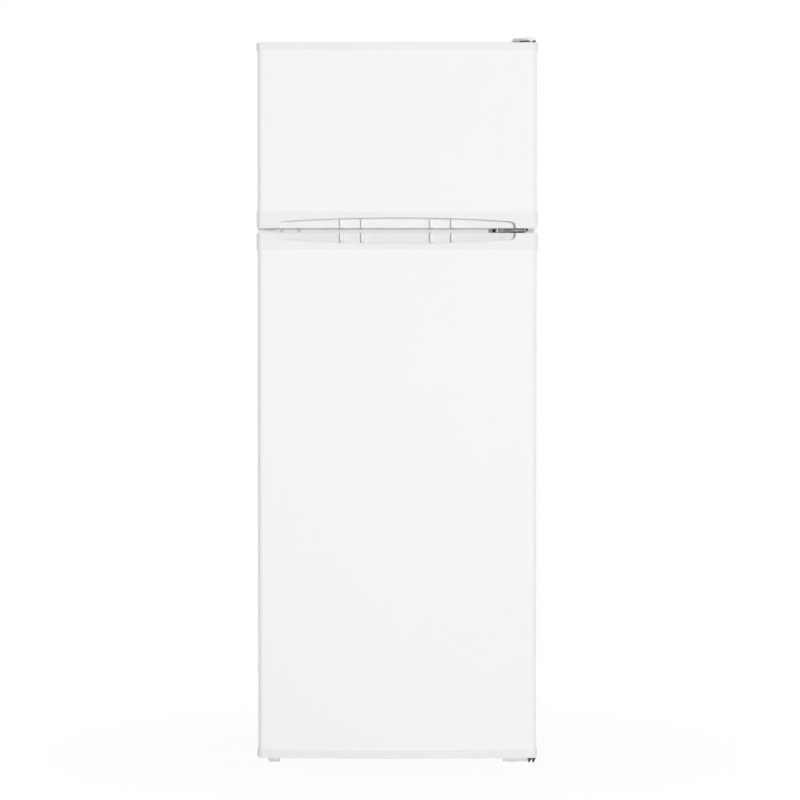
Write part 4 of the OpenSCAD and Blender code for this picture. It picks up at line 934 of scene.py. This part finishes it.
def screw_mesh(shank):
    """Pan head screw along Z, its cross recess up at z = 0 and its thread below the head."""
    work = bmesh.new()
    bmesh.ops.create_grid(work, x_segments=6, y_segments=6, size=0.3 * HEAD_D)
    cell = 0.1 * HEAD_D
    cross = []
    for face in work.faces:
        near, far = sorted(abs(c) for c in face.calc_center_median().xy)
        if near < cell and far < 2.0 * cell:
            cross.append(face)
    outer = [e for e in work.edges if e.is_boundary]
    work.normal_update()
    bmesh.ops.inset_region(
        work, faces=cross, thickness=0.02 * HEAD_D, depth=-0.5 * HEAD_H, use_even_offset=True
    )
    rim = bmesh.ops.create_circle(work, segments=24, radius=0.36 * HEAD_D)["verts"]
    edges = list(dict.fromkeys(e for v in rim for e in v.link_edges))
    bmesh.ops.bridge_loops(work, edges=outer + edges)
    for share, z in HEAD_RINGS:
        edges = grow_ring(work, edges, share, HEAD_D, z * HEAD_H)
    rings = 2 * int(shank / THREAD_PITCH)
    for ring in range(rings):
        share = THREAD_ROOT if ring % 2 == 0 else 1.0
        edges = grow_ring(work, edges, share, THREAD_D / 2, -HEAD_H - (ring + 1) * shank / rings)
    bmesh.ops.contextual_create(work, geom=edges)
    bmesh.ops.recalc_face_normals(work, faces=work.faces[:])
    return work


class REFRIGERATOR_OT_screws(Operator):
    """Cross recess screws of the hinges"""

    bl_idname = "refrigerator.screws"
    bl_label = "Hinge screws"

    def execute(self, context):
        work = bmesh.new()
        for low, high in solids("hinge_screws"):
            size, centre = high - low, (low + high) / 2
            if size.y > size.z:
                length, spot, turn = size.y, (centre.x, low.y, centre.z), TO_FRONT
            elif centre.z > HEADS_UP_Z:
                length, spot, turn = size.z, (centre.x, centre.y, high.z), 0.0
            else:
                length, spot, turn = size.z, (centre.x, centre.y, low.z), TO_FLOOR
            join(work, place(screw_mesh(length - HEAD_H), spot, turn))
        stand_in("cross_recess_screws", work, "hinge_screws")
        return {"FINISHED"}


# The domed plugs' outline, as shares of their radius and depth
DOME_PROFILE = (
    (0.0, 0.0),
    (0.45, 0.04),
    (0.7, 0.12),
    (0.8, 0.3),
    (0.92, 0.32),
    (1.0, 0.45),
    (1.0, 0.68),
    (0.62, 0.69),
    (0.58, 1.0),
    (0.0, 1.0),
)


class REFRIGERATOR_OT_plugs(Operator):
    """Domed plugs in the unused hinge holes"""

    bl_idname = "refrigerator.plugs"
    bl_label = "Hole plugs"

    def execute(self, context):
        work = bmesh.new()
        for low, high in solids("hinge_hole_plugs"):
            rim, deep = (high.x - low.x) / 2, high.y - low.y
            outline = [(r * rim, h * deep) for r, h in DOME_PROFILE]
            spot = ((low.x + high.x) / 2, low.y, (low.z + high.z) / 2)
            join(work, place(spun(outline, 32), spot, TO_BACK))
        stand_in("domed_plugs", work, "hinge_hole_plugs")
        return {"FINISHED"}


def foot_mesh(node, pitch):
    """Levelling foot: pad with grooves round its side, and threaded stem."""
    low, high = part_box(node)
    steps, pad = 72, (high.x - low.x) / 2
    pad_h, edge = 8 * MM, 1.6 * MM
    chamfer = 0.3 * edge
    stem = 4 * MM
    root = stem - 0.7 * MM
    outline = [(0.0, 0.0), (pad - edge, 0.0), (pad - chamfer, chamfer), (pad, edge)]
    outline += [(pad, pad_h - edge), (pad - chamfer, pad_h - chamfer), (pad - edge, pad_h)]
    outline += [(stem + 2.5 * MM, pad_h), (stem + 1.2 * MM, pad_h + 0.6 * MM)]
    z = pad_h + 2 * MM
    outline.append((stem, z))
    while z + pitch < high.z - MM:
        outline += [(root, z + 0.35 * pitch), (stem, z + 0.5 * pitch), (stem, z + pitch)]
        z += pitch
    outline += [(root, high.z), (0.0, high.z)]
    work = spun(outline, steps)
    groove(work, steps, 0.95 * pad, edge, pad_h - edge, 0.25 * MM, 0.5 * MM)
    return place(work, ((low.x + high.x) / 2, (low.y + high.y) / 2, low.z))


class REFRIGERATOR_OT_feet(Operator):
    """Threaded levelling feet"""

    bl_idname = "refrigerator.feet"
    bl_label = "Levelling feet"

    def execute(self, context):
        pitch = context.scene.refrigerator_sizes.thread_pitch
        for node in ("front_left_foot", "front_right_foot"):
            stand_in(node + "_threaded", foot_mesh(node, pitch), node)
        return {"FINISHED"}


# ---------------------------------------------------------------- inside


class REFRIGERATOR_OT_liners(Operator):
    """Vacuum formed liners of the cabinet and the doors"""

    bl_idname = "refrigerator.liners"
    bl_label = "Liners"

    def execute(self, context):
        radius = context.scene.refrigerator_sizes.formed_edge
        for node in ("freezer_liner", "fridge_liner", "freezer_door_liner", "fridge_door_liner"):
            softened(node, radius)
        return {"FINISHED"}


class REFRIGERATOR_OT_clear_parts(Operator):
    """Door bins, crisper and its cover"""

    bl_idname = "refrigerator.clear_parts"
    bl_label = "Bins and crisper"

    def execute(self, context):
        for node in (
            "freezer_door_bin",
            "upper_door_bin",
            "middle_door_bin",
            "bottle_bin",
            "crisper_drawer",
            "crisper_cover",
            "lamp_lens",
        ):
            softened(node, 0.3 * MM)
        return {"FINISHED"}


class REFRIGERATOR_OT_shelves(Operator):
    """Glass shelves with their trims, the ice tray and the cold plate"""

    bl_idname = "refrigerator.shelves"
    bl_label = "Shelves"

    def execute(self, context):
        soften_parts({"shelf_glass": 0.6, "shelf_frames": 0.4})
        soften_parts({"ice_tray": 0.4, "evaporator_plate": 0.3})
        return {"FINISHED"}


# Turn between two numbers of the dial in degrees, and their size, rise and way out from its rim
DIAL_STEP = 67.5
NUMBER_SIZE = 6.5 * MM
NUMBER_RISE = 0.15 * MM
NUMBER_OUT = 4.6 * MM


class REFRIGERATOR_OT_controls(Operator):
    """Thermostat housing and knob, and the lamp switch"""

    bl_idname = "refrigerator.controls"
    bl_label = "Controls"

    def execute(self, context):
        soften_parts({"thermostat_housing": 0.6, "lamp_switch": 0.3})
        low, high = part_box("thermostat_knob")
        centre, radius = (low + high) / 2, (high.x - low.x) / 2
        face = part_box("thermostat_housing")[0].y
        self.knob(radius, (centre.x, face - 0.3 * MM, centre.z), low.y, high.y)
        self.dial_numbers(radius, (centre.x, face, centre.z))
        return {"FINISHED"}

    def knob(self, radius, spot, front, back):
        """Knurled dial with a grip bar and its pointer line, on a spindle."""
        steps, spindle, reach = 96, 3 * MM, spot[1] - back
        outline = [(0.0, reach), (spindle, reach), (spindle, 0.0), (radius - 0.6 * MM, 0.0)]
        outline += [(radius, 0.6 * MM), (radius, 4.4 * MM), (radius - 0.6 * MM, 5 * MM)]
        outline += [(radius - 2 * MM, 5.6 * MM), (radius - 3 * MM, 5 * MM), (0.0, 4.6 * MM)]
        work = spun(outline, steps)
        groove(work, steps, 0.97 * radius, MM, 4 * MM, 0.1 * MM, 0.45 * MM)
        top, half_w, half_l = spot[1] - front, 3.4 * MM, 13.5 * MM
        bar = block((-half_w, -half_l, 4.4 * MM), (half_w, half_l, top))
        round_over(bar, upright_edges(bar, 5 * MM), 3.2 * MM, 6)
        crest = [e for e in bar.edges if min(v.co.z for v in e.verts) > top - 0.1 * MM]
        round_over(bar, crest, 0.9 * MM, 3)
        stand_in("knurled_dial", place(join(work, bar), spot, TO_FRONT), "thermostat_knob")
        line = block((-0.5 * MM, 4 * MM, top - 0.3 * MM), (0.5 * MM, 11.5 * MM, top + 0.05 * MM))
        line = place(soften(line, 0.1 * MM, 1), spot, TO_FRONT)
        piece("dial_pointer", line, "thermostat_knob", slot="black_plastic")

    def dial_numbers(self, radius, centre):
        """Raised numbers 1 to 5 on the housing round the dial."""
        x, y, z = centre
        out = radius + NUMBER_OUT
        work = bmesh.new()
        for number in range(1, 6):
            curve = bpy.data.curves.new("number", "FONT")
            curve.body = str(number)
            curve.size = NUMBER_SIZE
            curve.extrude = NUMBER_RISE
            curve.align_x = "CENTER"
            curve.align_y = "CENTER"
            holder = bpy.data.objects.new("number", curve)
            outline = bpy.data.meshes.new_from_object(holder)
            digit = bmesh.new()
            digit.from_mesh(outline)
            bpy.data.objects.remove(holder)
            bpy.data.curves.remove(curve)
            bpy.data.meshes.remove(outline)
            bmesh.ops.remove_doubles(digit, verts=digit.verts[:], dist=0.005 * MM)
            turn = math.radians(DIAL_STEP * (number - 1))
            spot = (x + out * math.sin(turn), y, z + out * math.cos(turn))
            join(work, place(digit, spot, TO_FRONT))
        piece("dial_numbers", work, "thermostat_housing", slot="black_plastic")


# ---------------------------------------------------------------- cooling


class REFRIGERATOR_OT_cooling(Operator):
    """Compressor and its fittings, drain pan, condenser brackets and mains inlet"""

    bl_idname = "refrigerator.cooling"
    bl_label = "Cooling system"

    def execute(self, context):
        soften_parts({"compressor": 0.4, "compressor_grommets": 0.8, "relay_cover": 0.6})
        soften_parts({"drain_pan": 0.5, "condenser_brackets": 0.3, "mains_inlet": 0.3})
        return {"FINISHED"}


class REFRIGERATOR_OT_finishes(Operator):
    """Finishes of the parts that keep their own shape"""

    bl_idname = "refrigerator.finishes"
    bl_label = "Finishes"

    def execute(self, context):
        for node, part in frame["nodes"].items():
            for slot in part.material_slots:
                slot.material = finish_for(SLOT_OF[node])
        return {"FINISHED"}


# ---------------------------------------------------------------- studio

# Name, azimuth, elevation and spread in degrees, and strength
LAMPS = (
    ("front_lamp", 8.0, 3.0, 9.0, 2.03),
    ("overhead_lamp", 50.0, 72.0, 60.0, 0.5),
    ("rear_lamp", 200.0, 20.0, 60.0, 0.3),
    ("left_lamp", -130.0, 15.0, 35.0, 0.85),
    ("right_lamp", 130.0, 15.0, 35.0, 0.85),
)
# The lamps' distance, and the height they aim at
LAMP_REACH, LAMP_AIM_Z = 5.0, 1.0
WORLD_LEVEL = 0.17
FLOOR_SIZE = 30.0
FLOOR_COLOR = (0.94, 0.94, 0.94)
# The floor's least and most share of white, and the distances where its rise starts and ends
FLOOR_WHITE, FLOOR_FADE = (0.95, 1.0), (0.3, 0.9)
CAMERA_SPOT, CAMERA_AIM = (0.0055, -7.28, 1.05), (0.0055, -0.28, 0.8)
CAMERA_LENS, CAMERA_SHIFT = 162.5, -0.0508


def white_light_path(tree):
    """1 where the camera, a gloss or a clear part looks at the surface, else 0."""
    path = tree.nodes.new("ShaderNodeLightPath")
    total = path.outputs["Is Camera Ray"]
    for ray in ("Is Glossy Ray", "Is Transmission Ray"):
        adder = tree.nodes.new("ShaderNodeMath")
        adder.operation = "MAXIMUM"
        tree.links.new(total, adder.inputs[0])
        tree.links.new(path.outputs[ray], adder.inputs[1])
        total = adder.outputs[0]
    return total


def blend(tree, lit, white, share, output):
    """Sends a lit shader to the output, with a share of a white one over it."""
    mix = tree.nodes.new("ShaderNodeMixShader")
    tree.links.new(share, mix.inputs["Fac"])
    tree.links.new(lit.outputs[0], mix.inputs[1])
    tree.links.new(white.outputs[0], mix.inputs[2])
    tree.links.new(mix.outputs[0], tree.nodes[output].inputs["Surface"])


def studio_world(level):
    """Even grey light, and a white background."""
    world = bpy.data.worlds.new("Studio")
    world.use_nodes = True
    tree = world.node_tree
    background = tree.nodes["Background"]
    background.inputs["Color"].default_value = (level, level, level * 1.01, 1.0)
    white = tree.nodes.new("ShaderNodeBackground")
    white.inputs["Color"].default_value = (1.0, 1.0, 1.0, 1.0)
    blend(tree, background, white, white_light_path(tree), "World Output")
    bpy.context.scene.world = world


def studio_floor():
    """Pale floor that keeps the shadow and turns white away from the object."""
    work = bmesh.new()
    bmesh.ops.create_grid(work, x_segments=4, y_segments=4, size=FLOOR_SIZE)
    mesh = bpy.data.meshes.new("studio_floor")
    work.to_mesh(mesh)
    work.free()
    finish = Finish("studio_floor", FLOOR_COLOR, 0.9)
    away = finish.add("VectorMath")
    away.operation = "LENGTH"
    finish.join(finish.place, away.inputs[0])
    white = finish.ramp(away.outputs["Value"], *FLOOR_WHITE, *FLOOR_FADE, "SMOOTHSTEP")
    share = finish.add("Math")
    share.operation = "MULTIPLY"
    finish.join(white_light_path(finish.tree), share.inputs[0])
    finish.join(white, share.inputs[1])
    blend(finish.tree, finish.shader, finish.add("Emission"), share.outputs[0], "Material Output")
    mesh.materials.append(finish.material)
    floor = new_object("studio_floor", mesh)


def soft_sun(name, azimuth, elevation, spread, strength):
    """A very soft lamp far off, azimuth to the right of straight ahead, in degrees."""
    light = bpy.data.lights.new(name, "SUN")
    light.angle = math.radians(spread)
    light.energy = strength
    lamp = new_object(name, light)
    turn, rise, far = math.radians(azimuth), math.radians(elevation), LAMP_REACH
    lamp.location = (far * math.sin(turn), -far * math.cos(turn), LAMP_AIM_Z + far * math.tan(rise))
    lamp.rotation_mode = "QUATERNION"
    ahead = Vector((0, 0, LAMP_AIM_Z)) - lamp.location
    lamp.rotation_quaternion = ahead.to_track_quat("-Z", "Y")
    lamp.visible_glossy = False


class REFRIGERATOR_OT_studio(Operator):
    """Floor, white background, soft lamps and the camera"""

    bl_idname = "refrigerator.studio"
    bl_label = "Studio"

    def execute(self, context):
        level = context.scene.refrigerator_sizes.light_level
        studio_world(WORLD_LEVEL * level)
        studio_floor()
        for name, azimuth, elevation, spread, strength in LAMPS:
            soft_sun(name, azimuth, elevation, spread, strength * level)
        self.add_camera(context)
        context.scene.view_settings.view_transform = "Standard"
        return {"FINISHED"}

    def add_camera(self, context):
        """Long lens from the front, a little above the middle."""
        data = bpy.data.cameras.new("camera")
        data.sensor_width = 36.0
        data.lens = CAMERA_LENS
        data.shift_y = CAMERA_SHIFT
        data.clip_end = 100.0
        camera = new_object("camera", data)
        camera.location = CAMERA_SPOT
        camera.rotation_mode = "QUATERNION"
        ahead = Vector(CAMERA_AIM) - Vector(CAMERA_SPOT)
        camera.rotation_quaternion = ahead.to_track_quat("-Z", "Y")
        context.scene.camera = camera


# ---------------------------------------------------------------- add-on

STEPS = (
    REFRIGERATOR_OT_door_skins,
    REFRIGERATOR_OT_end_caps,
    REFRIGERATOR_OT_gaskets,
    REFRIGERATOR_OT_cabinet,
    REFRIGERATOR_OT_hinges,
    REFRIGERATOR_OT_screws,
    REFRIGERATOR_OT_plugs,
    REFRIGERATOR_OT_feet,
    REFRIGERATOR_OT_liners,
    REFRIGERATOR_OT_clear_parts,
    REFRIGERATOR_OT_shelves,
    REFRIGERATOR_OT_controls,
    REFRIGERATOR_OT_cooling,
    REFRIGERATOR_OT_finishes,
    REFRIGERATOR_OT_studio,
)


class VIEW3D_PT_refrigerator(Panel):
    """Sizes, colours and building steps of the refrigerator"""

    bl_label = "Refrigerator"
    bl_space_type = "VIEW_3D"
    bl_region_type = "UI"
    bl_category = "Refrigerator"

    def draw(self, context):
        for group in (context.scene.refrigerator_sizes, context.scene.refrigerator_colors):
            box = self.layout.box()
            for name in group.__annotations__:
                box.prop(group, name)
        for step in STEPS:
            self.layout.operator(step.bl_idname)


CLASSES = (RefrigeratorColors, RefrigeratorSizes, *STEPS, VIEW3D_PT_refrigerator)


def register():
    for cls in CLASSES:
        bpy.utils.register_class(cls)
    bpy.types.Scene.refrigerator_colors = PointerProperty(type=RefrigeratorColors)
    bpy.types.Scene.refrigerator_sizes = PointerProperty(type=RefrigeratorSizes)


def unregister():
    del bpy.types.Scene.refrigerator_sizes
    del bpy.types.Scene.refrigerator_colors
    for cls in reversed(CLASSES):
        bpy.utils.unregister_class(cls)


def main():
    """Builds every piece and the studio."""
    register()
    for step in STEPS:
        getattr(bpy.ops.refrigerator, step.bl_idname.split(".")[1])()


if __name__ == "__main__":
    main()
